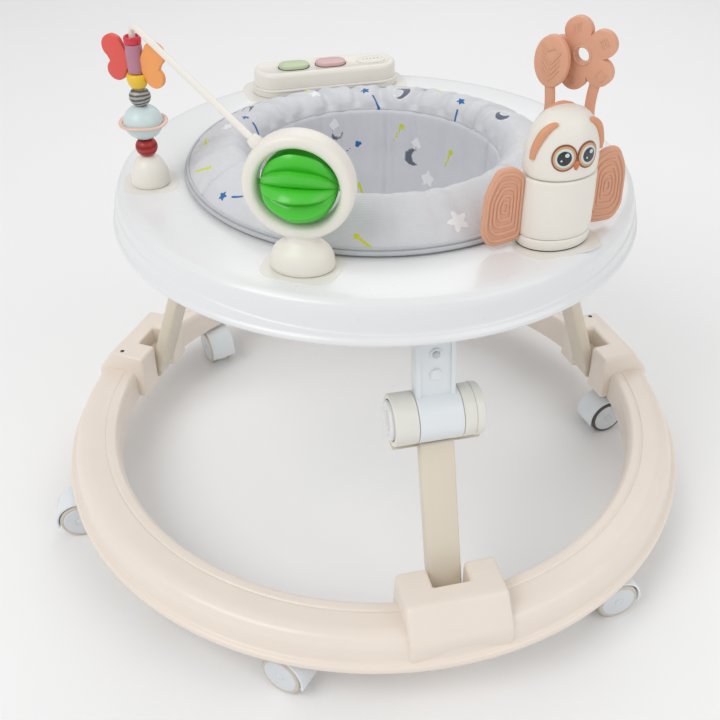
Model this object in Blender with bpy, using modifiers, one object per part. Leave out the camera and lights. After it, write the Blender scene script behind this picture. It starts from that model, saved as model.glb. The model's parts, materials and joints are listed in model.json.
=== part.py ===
"""Round baby walker: a base ring on eight casters, three folding legs, a tray, a hung seat and toys.

Metres, +Z up, floor at z = 0, ring axis on the Z axis. Azimuths are degrees from +X, turning to +Y.
"""

from math import atan2, cos, hypot, pi, radians, sin

import bmesh
import bpy
from mathutils import Euler, Matrix, Vector

# ---------------------------------------------------------------- driving dimensions
GAP = 0.0003                      # clearance between pieces that touch
RING_STEPS = 48                   # facets round the base ring and the tray
SMALL_STEPS = 16                  # facets round beads, wheels and pins

FLANGE_R = 0.340                  # base ring, outer edge of the bottom lip
BASE_BOTTOM = 0.050
BASE_TOP = 0.084
BASE_INNER_R = 0.284
BOSS_TOP = 0.106
BOSS_HALF_WIDTH = 0.050

LEG_AZIMUTHS = {"front": -76.0, "right": 20.0, "left": 161.0}
BASE_PIVOT = (0.276, 0.066)       # radius and height of the leg's lower pin
HUB_AXIS = (0.217, 0.240)         # radius and height of the knee
TRAY_PIVOT = (0.202, 0.346)       # radius and height of the leg's upper pin
LOWER_ARM_WIDTH = 0.032
LOWER_ARM_THICK = 0.014
UPPER_ARM_WIDTH = 0.037
UPPER_ARM_THICK = 0.016
PIN_R = 0.004
PIN_BORE_R = 0.0043
OPEN_PIN_BORE_R = 0.0072          # the two pivots that the linkage leaves loose
HUB_R = 0.0235
YOKE_R = 0.0285
BARREL = (-0.0185, 0.0215)        # the white middle of the knee, along its axis
LEFT_BAND = (-0.0400, -0.0188)
RIGHT_BAND = (0.0218, 0.0420)
BUTTON_R = 0.0180
BUTTON_TRAVEL = 0.003

WHEEL_R = 0.021
CASTER_TRAIL = 0.026
STEM_RADIUS_OUT = 0.311           # radius of the circle that the stems stand on
STEM_R = 0.0055
SOCKET_R = 0.0058
SOCKET_TOP = 0.072
CASTERS = {                       # stem azimuth, and the way the wheels trail at rest
    "a": (-159.0, -168.0),
    "b": (-133.0, 40.0),
    "c": (-108.5, -30.0),
    "d": (-47.0, 18.0),
    "e": (13.0, -158.0),
    "f": (74.0, -100.0),
    "g": (136.0, -60.0),
}

TRAY_R = 0.2545
TRAY_TOP = 0.3805
TRAY_RIM = 0.342
TRAY_HOLE_R = 0.165
TOY_FLOOR = TRAY_TOP + GAP

MUSIC_AZ = 106.0
MUSIC_R = 0.2100
MUSIC_LENGTH = 0.166
MUSIC_WIDTH = 0.052
MUSIC_SPLIT = 0.3900
MUSIC_TOP = 0.4070
MUSIC_BUTTONS = {"green": 0.036, "pink": -0.006}

WINDMILL_AT = (-0.0585, -0.1930)
WINDMILL_FACE_AZ = -99.0
WINDMILL_Z = 0.453
WINDMILL_OUTER_R = 0.0445
WINDMILL_INNER_R = 0.0325
BALL_R = 0.0306

BEADS_AT = (-0.2095, -0.0460)
ROD_R = 0.0028
BEAD_BORE_R = 0.0032
ROD_TOP = 0.5310
DOME_TOP = 0.4085

OWL_AT = (0.1497, -0.1446)
OWL_R = 0.030
OWL_SEAM = 0.4440
OWL_TOP = 0.4990
OWL_WIDE_AZ = 23.0                # the way the long axis of the owl's oval plan points
OWL_OVAL = (1.11, 0.83, 1.0)
PADDLE_AZ = 54.0                  # the way both teethers' flat backs face
FLOWER_STRAP = (43.0, 0.0345)     # azimuth and distance of each strap from the owl's axis
LEAF_STRAP = (108.0, 0.0320)


# ---------------------------------------------------------------- scene and materials
def clear_scene():
    for obj in list(bpy.data.objects):
        bpy.data.objects.remove(obj, do_unlink=True)


def make_collection(name):
    group = bpy.data.collections.new(name)
    bpy.context.scene.collection.children.link(group)
    return group


def make_material(name, colour, roughness, metallic=0.0):
    mat = bpy.data.materials.new(name)
    mat.use_nodes = True
    shader = mat.node_tree.nodes["Principled BSDF"]
    shader.inputs["Base Color"].default_value = (*colour, 1.0)
    shader.inputs["Roughness"].default_value = roughness
    shader.inputs["Metallic"].default_value = metallic
    return mat


clear_scene()
PARTS = make_collection("baby_walker")
MATERIALS = {
    "cream": make_material("cream", (0.86, 0.77, 0.66), 0.42),
    "white": make_material("white", (0.82, 0.84, 0.86), 0.28),
    "warm_white": make_material("warm_white", (0.76, 0.72, 0.64), 0.38),
    "grey_fabric": make_material("grey_fabric", (0.52, 0.54, 0.57), 0.90),
    "steel": make_material("steel", (0.62, 0.62, 0.62), 0.30, 1.0),
    "tread": make_material("tread", (0.60, 0.53, 0.45), 0.65),
    "leaf_green": make_material("leaf_green", (0.05, 0.50, 0.03), 0.35),
    "sage": make_material("sage", (0.51, 0.63, 0.38), 0.40),
    "pink": make_material("pink", (0.68, 0.43, 0.43), 0.40),
    "peach": make_material("peach", (0.73, 0.38, 0.24), 0.60),
    "coral": make_material("coral", (0.75, 0.10, 0.08), 0.45),
    "orange": make_material("orange", (0.90, 0.37, 0.10), 0.45),
    "mauve": make_material("mauve", (0.48, 0.22, 0.31), 0.45),
    "yellow": make_material("yellow", (0.87, 0.58, 0.02), 0.45),
    "grey": make_material("grey", (0.22, 0.22, 0.22), 0.45),
    "pale_blue": make_material("pale_blue", (0.63, 0.75, 0.75), 0.40),
    "salmon": make_material("salmon", (0.83, 0.58, 0.48), 0.45),
    "dark_red": make_material("dark_red", (0.35, 0.02, 0.02), 0.40),
    "red": make_material("red", (0.68, 0.03, 0.05), 0.40),
}


# ---------------------------------------------------------------- modelling helpers
def polar(azimuth, radius, height=0.0):
    return Vector((radius * cos(radians(azimuth)), radius * sin(radians(azimuth)), height))


def add_mesh(mesh, name="piece"):
    obj = bpy.data.objects.new(name, mesh)
    bpy.context.scene.collection.objects.link(obj)
    return obj


def from_bmesh(bm, name="piece"):
    mesh = bpy.data.meshes.new(name)
    bm.to_mesh(mesh)
    bm.free()
    return add_mesh(mesh, name)


def bake(obj):
    """Replace an object's data by its evaluated mesh, with its modifiers applied."""
    graph = bpy.context.evaluated_depsgraph_get()
    mesh = bpy.data.meshes.new_from_object(obj.evaluated_get(graph))
    baked = add_mesh(mesh, obj.name)
    baked.matrix_world = obj.matrix_world.copy()
    bpy.data.objects.remove(obj, do_unlink=True)
    return baked


def moved(obj, matrix):
    obj.data.transform(matrix)
    return obj


def combine(target, tool, operation):
    """Join the tool to the target, or cut it away, and remove the tool."""
    modifier = target.modifiers.new("combine", "BOOLEAN")
    modifier.operation = operation
    modifier.solver = "EXACT"
    modifier.object = tool
    result = bake(target)
    bpy.data.objects.remove(tool, do_unlink=True)
    return result


def joined(first, *others):
    for other in others:
        first = combine(first, other, "UNION")
    return first


def cut(target, *tools):
    for tool in tools:
        target = combine(target, tool, "DIFFERENCE")
    return target


def rounded(obj, width, segments=1, angle=35.0):
    bevel = obj.modifiers.new("edges", "BEVEL")
    bevel.width = width
    bevel.segments = segments
    bevel.limit_method = "ANGLE"
    bevel.angle_limit = radians(angle)
    return bake(obj)


def box(size, centre=(0, 0, 0), edge=0.0):
    bm = bmesh.new()
    bmesh.ops.create_cube(bm, size=1.0)
    bmesh.ops.scale(bm, vec=size, verts=bm.verts)
    bmesh.ops.translate(bm, vec=centre, verts=bm.verts)
    obj = from_bmesh(bm, "box")
    return rounded(obj, edge) if edge else obj


def cylinder(radius, start, end, steps=SMALL_STEPS):
    """A round bar between two points."""
    start, end = Vector(start), Vector(end)
    along = end - start
    bm = bmesh.new()
    bmesh.ops.create_cone(
        bm, cap_ends=True, segments=steps, radius1=radius, radius2=radius, depth=along.length
    )
    obj = from_bmesh(bm, "cylinder")
    turn = along.to_track_quat("Z", "Y").to_matrix().to_4x4()
    return moved(obj, Matrix.Translation((start + end) / 2) @ turn)


def cross_bar(radius, across, centre=(0.0, 0.0), steps=SMALL_STEPS):
    """A round bar along Y, from across[0] to across[1], at x and z of centre."""
    x, z = centre
    return cylinder(radius, (x, across[0], z), (x, across[1], z), steps)


def turned(profile, steps=SMALL_STEPS, closed=False):
    """Turn a profile of (radius, height) points, given down its outer side, about Z."""
    bm = bmesh.new()
    verts = [bm.verts.new((r, 0.0, z)) for r, z in profile]
    for a, b in zip(verts, verts[1:]):
        bm.edges.new((a, b))
    if closed:
        bm.edges.new((verts[-1], verts[0]))
    obj = from_bmesh(bm, "turned")
    screw = obj.modifiers.new("turn", "SCREW")
    screw.steps = steps
    screw.render_steps = steps
    screw.use_merge_vertices = True
    screw.merge_threshold = 0.00002
    return bake(obj)


def plate(outline, thickness):
    """A flat plate in the XZ plane, centred on Y = 0, with the given outline."""
    curve = bpy.data.curves.new("outline", "CURVE")
    curve.dimensions = "2D"
    curve.fill_mode = "BOTH"
    curve.extrude = thickness / 2
    spline = curve.splines.new("POLY")
    spline.points.add(len(outline) - 1)
    for point, (x, z) in zip(spline.points, outline):
        point.co = (x, z, 0.0, 1.0)
    spline.use_cyclic_u = True
    obj = bpy.data.objects.new("plate", curve)
    bpy.context.scene.collection.objects.link(obj)
    obj = bake(obj)
    bm = bmesh.new()
    bm.from_mesh(obj.data)
    bmesh.ops.remove_doubles(bm, verts=bm.verts, dist=0.00001)
    bmesh.ops.recalc_face_normals(bm, faces=bm.faces)
    bm.to_mesh(obj.data)
    bm.free()
    return moved(obj, Matrix.Rotation(pi / 2, 4, "X"))


def tube(points, radius):
    curve = bpy.data.curves.new("tube", "CURVE")
    curve.dimensions = "3D"
    curve.bevel_depth = radius
    curve.bevel_resolution = 2
    curve.use_fill_caps = True
    spline = curve.splines.new("POLY")
    spline.points.add(len(points) - 1)
    for point, place in zip(spline.points, points):
        point.co = (*place, 1.0)
    obj = bpy.data.objects.new("tube", curve)
    bpy.context.scene.collection.objects.link(obj)
    obj = bake(obj)
    bm = bmesh.new()
    bm.from_mesh(obj.data)
    bmesh.ops.remove_doubles(bm, verts=bm.verts, dist=0.00001)
    bmesh.ops.recalc_face_normals(bm, faces=bm.faces)
    bm.to_mesh(obj.data)
    bm.free()
    return obj


def arc(centre, radius, start, end, count):
    """Points on an arc, from one angle to another, both in degrees."""
    angles = [radians(start + (end - start) * i / (count - 1)) for i in range(count)]
    return [(centre[0] + radius * cos(a), centre[1] + radius * sin(a)) for a in angles]


def finish(obj, name, slot, place=(0, 0, 0), azimuth=0.0, smooth=True):
    """Name a part, give it its material and stand it in its place."""
    obj.name = name
    obj.data.name = name
    obj.data.materials.clear()
    obj.data.materials.append(MATERIALS[slot])
    for polygon in obj.data.polygons:
        polygon.use_smooth = smooth
    obj.location = place
    obj.rotation_euler = Euler((0.0, 0.0, radians(azimuth)))
    bpy.context.scene.collection.objects.unlink(obj)
    PARTS.objects.link(obj)
    return obj


# ---------------------------------------------------------------- base ring
def base_ring():
    shell = [
        (0.3180, BASE_TOP), (0.3255, 0.0815), (0.3310, 0.0740), (0.3335, 0.0585), (FLANGE_R, 0.0575),
        (FLANGE_R, BASE_BOTTOM), (0.3300, BASE_BOTTOM), (0.3275, 0.0730), (0.3190, 0.0805),
        (0.2890, 0.0805), (0.2880, BASE_BOTTOM), (BASE_INNER_R, BASE_BOTTOM), (0.2850, 0.0790),
        (0.2885, BASE_TOP),
    ]
    ring = turned(shell, RING_STEPS, closed=True)
    for azimuth in LEG_AZIMUTHS.values():
        ring = joined(ring, moved(leg_boss(), Matrix.Rotation(radians(azimuth), 4, "Z")))
    for azimuth, _ in CASTERS.values():
        at = polar(azimuth, STEM_RADIUS_OUT)
        top = at + Vector((0, 0, BASE_TOP - 0.0015))
        ring = joined(ring, cylinder(0.0125, at + Vector((0, 0, BASE_BOTTOM)), top, 12))
    for azimuth in LEG_AZIMUTHS.values():
        ring = cut(ring, moved(leg_slot(), Matrix.Rotation(radians(azimuth), 4, "Z")))
    for azimuth, _ in CASTERS.values():
        at = polar(azimuth, STEM_RADIUS_OUT)
        low, high = at + Vector((0, 0, 0.045)), at + Vector((0, 0, SOCKET_TOP))
        ring = cut(ring, cylinder(SOCKET_R + 0.0002, low, high, 12))
    finish(ring, "base_ring", "cream")


def leg_boss():
    low = BASE_BOTTOM + 0.0001
    outline = [(0.270, low), (0.3315, low), (0.3315, 0.0800), (0.3125, BOSS_TOP), (0.270, BOSS_TOP)]
    return rounded(plate(outline, 2 * BOSS_HALF_WIDTH), 0.0035)


def leg_slot():
    """The pocket that the lower arm swings in, with the blind holes for its pin."""
    half = LOWER_ARM_WIDTH / 2 + 0.0012
    pocket = box((0.044, 2 * half, 0.080), (0.270, 0.0, 0.080))
    return joined(pocket, cross_bar(PIN_BORE_R, (-0.030, 0.030), BASE_PIVOT, 12))


# ---------------------------------------------------------------- folding legs
def leg_vector(start, end):
    return Vector((end[0] - start[0], 0.0, end[1] - start[1]))


def arm_bar(along, begin, end, width, thick, edge):
    """A rectangular bar on the line along, from begin to end metres out."""
    length = end - begin
    bar = box((thick, width, length), (0.0, 0.0, begin + length / 2), edge)
    tilt = atan2(along.x, along.z)
    return moved(bar, Matrix.Rotation(tilt, 4, "Y"))


def lower_arm(side, azimuth):
    """Bar, yoke and two end bands in one moulding; its origin is on the base pin."""
    along = leg_vector(BASE_PIVOT, HUB_AXIS)
    hub = (along.x, along.z)
    half = LOWER_ARM_WIDTH / 2
    bar = arm_bar(along, 0.0, along.length - 0.0245, 2 * half, LOWER_ARM_THICK, 0.0022)
    foot = cross_bar(0.0088, (-half, half))
    sector = [hub] + arc(hub, YOKE_R, -165.0, -72.0, 7)
    yoke = plate(sector, RIGHT_BAND[1] - LEFT_BAND[0])
    yoke = moved(yoke, Matrix.Translation((0, (RIGHT_BAND[1] + LEFT_BAND[0]) / 2, 0)))
    bands = [cross_bar(HUB_R, band, hub, 24) for band in (LEFT_BAND, RIGHT_BAND)]
    arm = joined(yoke, *bands)
    arm = cut(arm, cross_bar(HUB_R + 0.0005, (BARREL[0] - GAP, BARREL[1] + GAP), hub, 24))
    arm = joined(arm, cross_bar(0.006, (LEFT_BAND[1] - 0.001, RIGHT_BAND[0] + 0.001), hub, 12))
    arm = joined(arm, bar, foot)
    recess = cross_bar(BUTTON_R + 0.0005, (LEFT_BAND[0] - 0.001, LEFT_BAND[0] + 0.0045), hub, 20)
    arm = cut(arm, recess, cross_bar(PIN_BORE_R, (-0.03, 0.03), (0, 0), 12))
    finish(arm, f"lower_arm_{side}", "cream", polar(azimuth, *BASE_PIVOT), azimuth)


def upper_arm(side, azimuth):
    """White bar and knee barrel in one moulding; its origin is on the knee axis."""
    along = leg_vector(HUB_AXIS, TRAY_PIVOT)
    half = UPPER_ARM_WIDTH / 2
    bore = PIN_BORE_R if side == "front" else OPEN_PIN_BORE_R
    barrel = cross_bar(HUB_R, BARREL, (0, 0), 24)
    bar = arm_bar(along, 0.008, along.length, 2 * half, UPPER_ARM_THICK, 0.0022)
    top = cross_bar(0.0115, (-half, half), (along.x, along.z), 16)
    arm = joined(barrel, bar, top)
    arm = cut(arm, cross_bar(0.0064, (-0.05, 0.05), (0, 0), 12))
    arm = cut(arm, cross_bar(bore, (-0.05, 0.05), (along.x, along.z), 14))
    finish(arm, f"upper_arm_{side}", "white", polar(azimuth, *HUB_AXIS), azimuth)


def base_pin(side, azimuth):
    pin = cross_bar(PIN_R, (-0.0295, 0.0295), (0, 0), 12)
    finish(pin, f"base_pin_{side}", "steel", polar(azimuth, *BASE_PIVOT), azimuth)


def knee_button(side, azimuth):
    """The round release button in the knee's left band; it slides along the knee axis."""
    outer = LEFT_BAND[0] - BUTTON_TRAVEL
    disc = rounded(cross_bar(BUTTON_R, (outer, LEFT_BAND[0] + 0.001), (0, 0), 20), 0.0008)
    finish(disc, f"knee_button_{side}", "white", polar(azimuth, *HUB_AXIS), azimuth)


def tray_bracket(side, azimuth):
    """Clevis under the tray with its pin, centred on the leg's upper pin."""
    inner = UPPER_ARM_WIDTH / 2 + (0.0006 if side == "front" else 0.0030)
    outer = inner + 0.0045
    top = TRAY_TOP - 0.0033 - TRAY_PIVOT[1]
    plate_top = box((0.030, 2 * outer, 0.004), (0.0, 0.0, top - 0.002))
    cheeks = []
    for side_sign in (-1, 1):
        middle = (0.0, side_sign * (inner + outer) / 2, top / 2 - 0.005)
        cheeks.append(box((0.024, outer - inner, top + 0.008), middle))
    pin = cross_bar(PIN_R, (-inner - 0.001, inner + 0.001), (0, 0), 12)
    bracket = joined(plate_top, *cheeks, pin)
    finish(bracket, f"tray_bracket_{side}", "white", polar(azimuth, *TRAY_PIVOT), azimuth, smooth=False)


# ---------------------------------------------------------------- casters
def caster_fork(tag, azimuth, heading):
    """Web, mudguard and stem in one moulding; its origin is on the stem's axis."""
    centre = (CASTER_TRAIL, WHEEL_R)
    web_outline = (
        [(-0.0090, 0.0490), (-0.0090, 0.0370), (0.0060, 0.0300), (0.0140, 0.0160), (0.0230, 0.0085)]
        + arc(centre, 0.0215, -60.0, 95.0, 7)
        + [(0.0150, 0.0490)]
    )
    web = plate(web_outline, 0.0125)
    guard_outline = arc(centre, 0.0246, -12.0, 140.0, 9) + arc(centre, 0.0222, 140.0, -12.0, 9)
    guard = plate(guard_outline, 0.0245)
    collar = cylinder(0.0100, (0, 0, 0.0400), (0, 0, BASE_BOTTOM - 0.0006), 12)
    stem = cylinder(STEM_R, (0, 0, 0.0450), (0, 0, SOCKET_TOP - 0.001), 12)
    fork = joined(web, guard, collar, stem)
    fork = cut(fork, cross_bar(0.0034, (-0.02, 0.02), centre, 10))
    finish(fork, f"caster_fork_{tag}", "white", polar(azimuth, STEM_RADIUS_OUT), heading)


def caster_wheels(tag, azimuth, heading):
    """Two wheels on one axle; the origin is on the axle, midway between them."""
    inside, outside = 0.0066, 0.0160
    profile = [
        (0.0, outside), (0.0195, outside), (WHEEL_R, outside - 0.0016), (WHEEL_R, inside),
        (0.0030, inside), (0.0030, -inside), (WHEEL_R, -inside), (WHEEL_R, 0.0016 - outside),
        (0.0195, -outside), (0.0, -outside),
    ]
    pair = moved(turned(profile, 20), Matrix.Rotation(-pi / 2, 4, "X"))
    ahead = polar(heading, CASTER_TRAIL)
    place = polar(azimuth, STEM_RADIUS_OUT) + ahead + Vector((0, 0, WHEEL_R))
    finish(pair, f"caster_wheels_{tag}", "tread", place, heading)


# ---------------------------------------------------------------- tray and seat
def tray():
    shell = [
        (0.2370, TRAY_TOP), (0.2430, 0.3787), (0.2475, 0.3735), (0.2495, 0.3660), (0.2503, 0.3540),
        (0.2540, 0.3500), (TRAY_R, TRAY_RIM), (0.2510, TRAY_RIM), (0.2465, 0.3620), (0.2400, 0.3755),
        (0.2270, 0.3775), (0.1710, 0.3775), (0.1680, 0.3480), (TRAY_HOLE_R, 0.3480),
        (TRAY_HOLE_R, 0.3790), (0.1680, TRAY_TOP),
    ]
    finish(turned(shell, RING_STEPS, closed=True), "tray_shell", "white")


def seat_hoop():
    flange = [
        (0.1720, 0.3828), (0.1720, TOY_FLOOR), (0.1645, TOY_FLOOR), (0.1645, 0.3700),
        (0.1605, 0.3700), (0.1605, 0.3828),
    ]
    finish(turned(flange, 36, closed=True), "seat_hoop", "warm_white")


def seat_collar():
    """The padded ring round the seat's mouth, a plain closed cushion."""
    pad = [
        (0.1440, 0.4180), (0.1600, 0.4130), (0.1730, 0.4020), (0.1810, 0.3900), (0.1810, 0.3831),
        (0.1190, 0.3831), (0.1190, 0.3960), (0.1320, 0.4120),
    ]
    finish(turned(pad, 32, closed=True), "seat_collar", "grey_fabric")


def seat_sling():
    """The hung seat: a fabric bucket with two leg holes."""
    outside = [
        (0.1590, 0.3825), (0.1470, 0.3400), (0.1270, 0.2920), (0.0900, 0.2400), (0.0450, 0.2110),
        (0, 0.2050),
    ]
    inside = [
        (0, 0.2090), (0.0430, 0.2150), (0.0865, 0.2430), (0.1235, 0.2940), (0.1430, 0.3410),
        (0.1545, 0.3825),
    ]
    bucket = turned(outside + inside + [outside[0]], 26)
    for azimuth in (-126.0, -26.0):
        start = polar(azimuth, 0.055, 0.262)
        bucket = cut(bucket, cylinder(0.043, start, polar(azimuth, 0.180, 0.262), 14))
    finish(bucket, "seat_sling", "grey_fabric")


# ---------------------------------------------------------------- music box
def capsule(length, width, low, high, edge=0.0, count=7):
    """A flat block with half-round ends, long on Y, between two heights."""
    half, reach = width / 2, (length - width) / 2
    outline = arc((reach, 0), half, -90, 90, count) + arc((-reach, 0), half, 90, 270, count)
    block = moved(plate(outline, high - low), Matrix.Rotation(pi / 2, 4, "X"))
    block = moved(block, Matrix.Rotation(pi / 2, 4, "Z"))
    block = moved(block, Matrix.Translation((0, 0, (low + high) / 2)))
    return rounded(block, edge) if edge else block


def music_box():
    at = polar(MUSIC_AZ, MUSIC_R)
    base = capsule(MUSIC_LENGTH, MUSIC_WIDTH, TOY_FLOOR, MUSIC_SPLIT)
    finish(base, "music_base", "warm_white", at, MUSIC_AZ)
    cover = capsule(MUSIC_LENGTH - 0.004, MUSIC_WIDTH - 0.004, MUSIC_SPLIT + GAP, MUSIC_TOP, 0.004, 7)
    hollow = capsule(MUSIC_LENGTH - 0.014, MUSIC_WIDTH - 0.014, MUSIC_SPLIT - 0.001, 0.3965)
    cover = cut(cover, hollow)
    for offset in MUSIC_BUTTONS.values():
        well = capsule(0.0350, 0.0230, MUSIC_TOP - 0.0055, MUSIC_TOP + 0.001, count=5)
        cover = cut(cover, moved(well, Matrix.Translation((0, offset, 0))))
    grille = capsule(0.0320, 0.0210, MUSIC_TOP - 0.0012, MUSIC_TOP + 0.001, count=5)
    cover = cut(cover, moved(grille, Matrix.Translation((0, -0.052, 0))))
    finish(cover, "music_cover", "warm_white", at, MUSIC_AZ)
    for name, offset in MUSIC_BUTTONS.items():
        cap = capsule(0.0342, 0.0222, MUSIC_TOP - 0.0035, MUSIC_TOP + 0.0030, 0.0012, 5)
        slot = "sage" if name == "green" else "pink"
        place = at + Matrix.Rotation(radians(MUSIC_AZ), 3, "Z") @ Vector((0, offset, 0))
        finish(cap, f"music_button_{name}", slot, place, MUSIC_AZ)


# ---------------------------------------------------------------- windmill toy
def windmill_stand():
    """Foot, neck and open ring in one moulding, facing along its local +X."""
    depth = 0.012
    section = [
        (WINDMILL_OUTER_R - 0.002, depth), (WINDMILL_OUTER_R, 0.006), (WINDMILL_OUTER_R, -0.006),
        (WINDMILL_OUTER_R - 0.002, -depth), (WINDMILL_INNER_R + 0.002, -depth),
        (WINDMILL_INNER_R, -0.007), (WINDMILL_INNER_R, 0.007), (WINDMILL_INNER_R + 0.002, depth),
    ]
    ring = moved(turned(section, 30, closed=True), Matrix.Rotation(pi / 2, 4, "Y"))
    ring = moved(ring, Matrix.Translation((0, 0, WINDMILL_Z)))
    dome = [
        (0, 0.4030), (0.0150, 0.4030), (0.0225, 0.3980), (0.0265, 0.3880), (0.0270, TOY_FLOOR),
        (0, TOY_FLOOR),
    ]
    foot = moved(turned(dome, 20), Matrix.Diagonal((0.80, 1.0, 1.0, 1.0)))
    neck = turned([(0, 0.4140), (0.0110, 0.4140), (0.0120, 0.4040), (0.0180, 0.3960), (0, 0.3960)], 14)
    stand = joined(ring, foot, neck)
    for sign in (-1, 1):
        reach = (sign * (WINDMILL_INNER_R - 0.002), sign * (WINDMILL_INNER_R + 0.006))
        stand = cut(stand, cross_bar(0.0029, (min(reach), max(reach)), (0, WINDMILL_Z), 12))
    stand = cut(stand, cylinder(ROD_R + 0.0004, *rod_socket(), 12))
    place = (*WINDMILL_AT, 0.0)
    finish(stand, "windmill_stand", "warm_white", place, WINDMILL_FACE_AZ)


def rod_socket():
    """The rod's socket in the windmill's ring, in the windmill's own frame."""
    out = Vector((0.0, -cos(radians(45.0)), sin(radians(45.0))))
    centre = Vector((0.0, 0.0, WINDMILL_Z))
    return centre + out * (WINDMILL_OUTER_R - 0.008), centre + out * (WINDMILL_OUTER_R + 0.004)


def windmill_ball():
    """A ball of leaf-shaped vanes on a level axle, about its own Y axis."""
    bm = bmesh.new()
    bmesh.ops.create_uvsphere(bm, u_segments=18, v_segments=8, radius=BALL_R)
    for vert in bm.verts:
        turn = round(atan2(vert.co.y, vert.co.x) / (2 * pi) * 18)
        if turn % 3 == 0 and hypot(vert.co.x, vert.co.y) > 0.001:
            vert.co.x *= 0.70
            vert.co.y *= 0.70
    ball = moved(from_bmesh(bm), Matrix.Rotation(pi / 2, 4, "X"))
    ball = joined(ball, cross_bar(0.0025, (-0.0365, 0.0365), (0, 0), 12))
    finish(ball, "windmill_ball", "leaf_green", (*WINDMILL_AT, WINDMILL_Z), WINDMILL_FACE_AZ)


# ---------------------------------------------------------------- bead tower
def rod_path():
    """Up through the beads, over a bend, and down to the windmill's ring."""
    foot = Vector((*BEADS_AT, DOME_TOP - 0.012))
    turn = Matrix.Rotation(radians(WINDMILL_FACE_AZ), 3, "Z")
    base = Vector((*WINDMILL_AT, 0.0))
    deep, mouth = (base + turn @ point for point in rod_socket())
    end = deep + (mouth - deep).normalized() * 0.0012
    away = mouth + (mouth - deep).normalized() * 0.006
    peak = Vector((*BEADS_AT, ROD_TOP))
    side = (away - peak).normalized()
    drop = Vector((0, 0, -0.0105))
    bend = [peak + drop * (1 - i / 4) ** 2 + side * 0.0105 * (i / 4) ** 2 for i in range(5)]
    return [foot, *bend, away, mouth, end]


def bead(name, slot, points, place, steps=SMALL_STEPS):
    """A turned bead with a bore; points go down its outside from top to bottom."""
    top, bottom = points[0][1], points[-1][1]
    loop = points + [(BEAD_BORE_R, bottom), (BEAD_BORE_R, top)]
    finish(turned(loop, steps, closed=True), name, slot, place)


def ball_points(radius, count, pole):
    """The outside of a slightly flat bead, cut off at this latitude in degrees, from the top down."""
    return [(x, 0.93 * z) for x, z in arc((0, 0), radius, pole, -pole, count)]


def bead_tower():
    x, y = BEADS_AT
    dome = [
        (ROD_R + 0.0004, DOME_TOP), (0.0080, DOME_TOP - 0.0010), (0.0140, 0.4030), (0.0172, 0.3930),
        (0.0178, TOY_FLOOR), (0, TOY_FLOOR), (0, DOME_TOP - 0.0135), (ROD_R + 0.0004, DOME_TOP - 0.0135),
    ]
    finish(turned(dome + [dome[0]], 20), "bead_dome", "warm_white", (x, y, 0))
    finish(tube(rod_path(), ROD_R), "bead_rod", "warm_white")
    bead("bead_dark_red", "dark_red", ball_points(0.0100, 5, 62.0), (x, y, 0.4170))
    bead("bead_planet", "pale_blue", ball_points(0.0176, 7, 72.0), (x, y, 0.4411))
    ring = [(0.0218, 0.0010), (0.0218, -0.0010), (0.0182, -0.0018), (0.0182, 0.0018)]
    finish(turned(ring, 24, closed=True), "planet_ring", "salmon", (x, y, 0.4411))
    bead("bead_grey", "grey", ball_points(0.0096, 5, 62.0), (x, y, 0.4648))
    cup = [(0.0060, 0.0066), (0.0088, 0.0054), (0.0094, 0.0008), (0.0066, -0.0058), (0.0050, -0.0066)]
    bead("bead_cup", "yellow", cup, (x, y, 0.4796))
    body = [(0.0060, 0.0130), (0.0074, 0.0115), (0.0074, -0.0110), (0.0060, -0.0130)]
    bead("butterfly_body", "mauve", body, (x, y, 0.4996))
    cap = [(0.0052, 0.0032), (0.0076, 0.0020), (0.0074, -0.0014), (0.0056, -0.0032)]
    bead("bead_cap", "red", cap, (x, y, 0.5162))
    butterfly_wings()


def butterfly_wings():
    """Two flat two-lobed wings, one each side of the body, plugged into it."""
    root = 0.0077
    outline = (
        [(root, -0.0060), (root, 0.0060)]
        + arc((0.0205, 0.0105), 0.0102, 130, -50, 8)
        + arc((0.0190, -0.0105), 0.0088, 50, -135, 7)
    )
    for side, slot, lift, turn in (("left", "coral", -0.002, 160.0), ("right", "orange", -0.0045, -22.0)):
        wing = rounded(plate(outline, 0.0050), 0.0008)
        place = (*BEADS_AT, 0.4996 + lift)
        finish(wing, f"butterfly_wing_{side}", slot, place, turn)


# ---------------------------------------------------------------- owl toy
def oval(points):
    """A turned profile drawn out into the owl's oval plan."""
    return moved(turned(points, 24), Matrix.Diagonal((*OWL_OVAL, 1.0)))


def owl():
    place = (*OWL_AT, 0)
    base = [
        (0, 0.3915), (OWL_R, 0.3915), (OWL_R + 0.0004, 0.3830), (OWL_R - 0.0010, TOY_FLOOR),
        (0, TOY_FLOOR),
    ]
    finish(oval(base), "owl_base", "warm_white", place, OWL_WIDE_AZ)
    body = [
        (0, OWL_SEAM), (OWL_R - 0.001, OWL_SEAM), (OWL_R, OWL_SEAM - 0.0020), (OWL_R + 0.0004, 0.4150),
        (OWL_R, 0.3918), (0, 0.3918),
    ]
    finish(oval(body), "owl_body", "warm_white", place, OWL_WIDE_AZ)
    head = [
        (0, OWL_TOP), (0.0100, 0.4976), (0.0185, 0.4925), (0.0248, 0.4830), (0.0282, 0.4690),
        (0.0294, 0.4550), (0.0290, OWL_SEAM + GAP), (0, OWL_SEAM + GAP),
    ]
    finish(oval(head), "owl_head", "warm_white", place, OWL_WIDE_AZ)
    owl_wings()
    owl_teethers()


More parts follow.
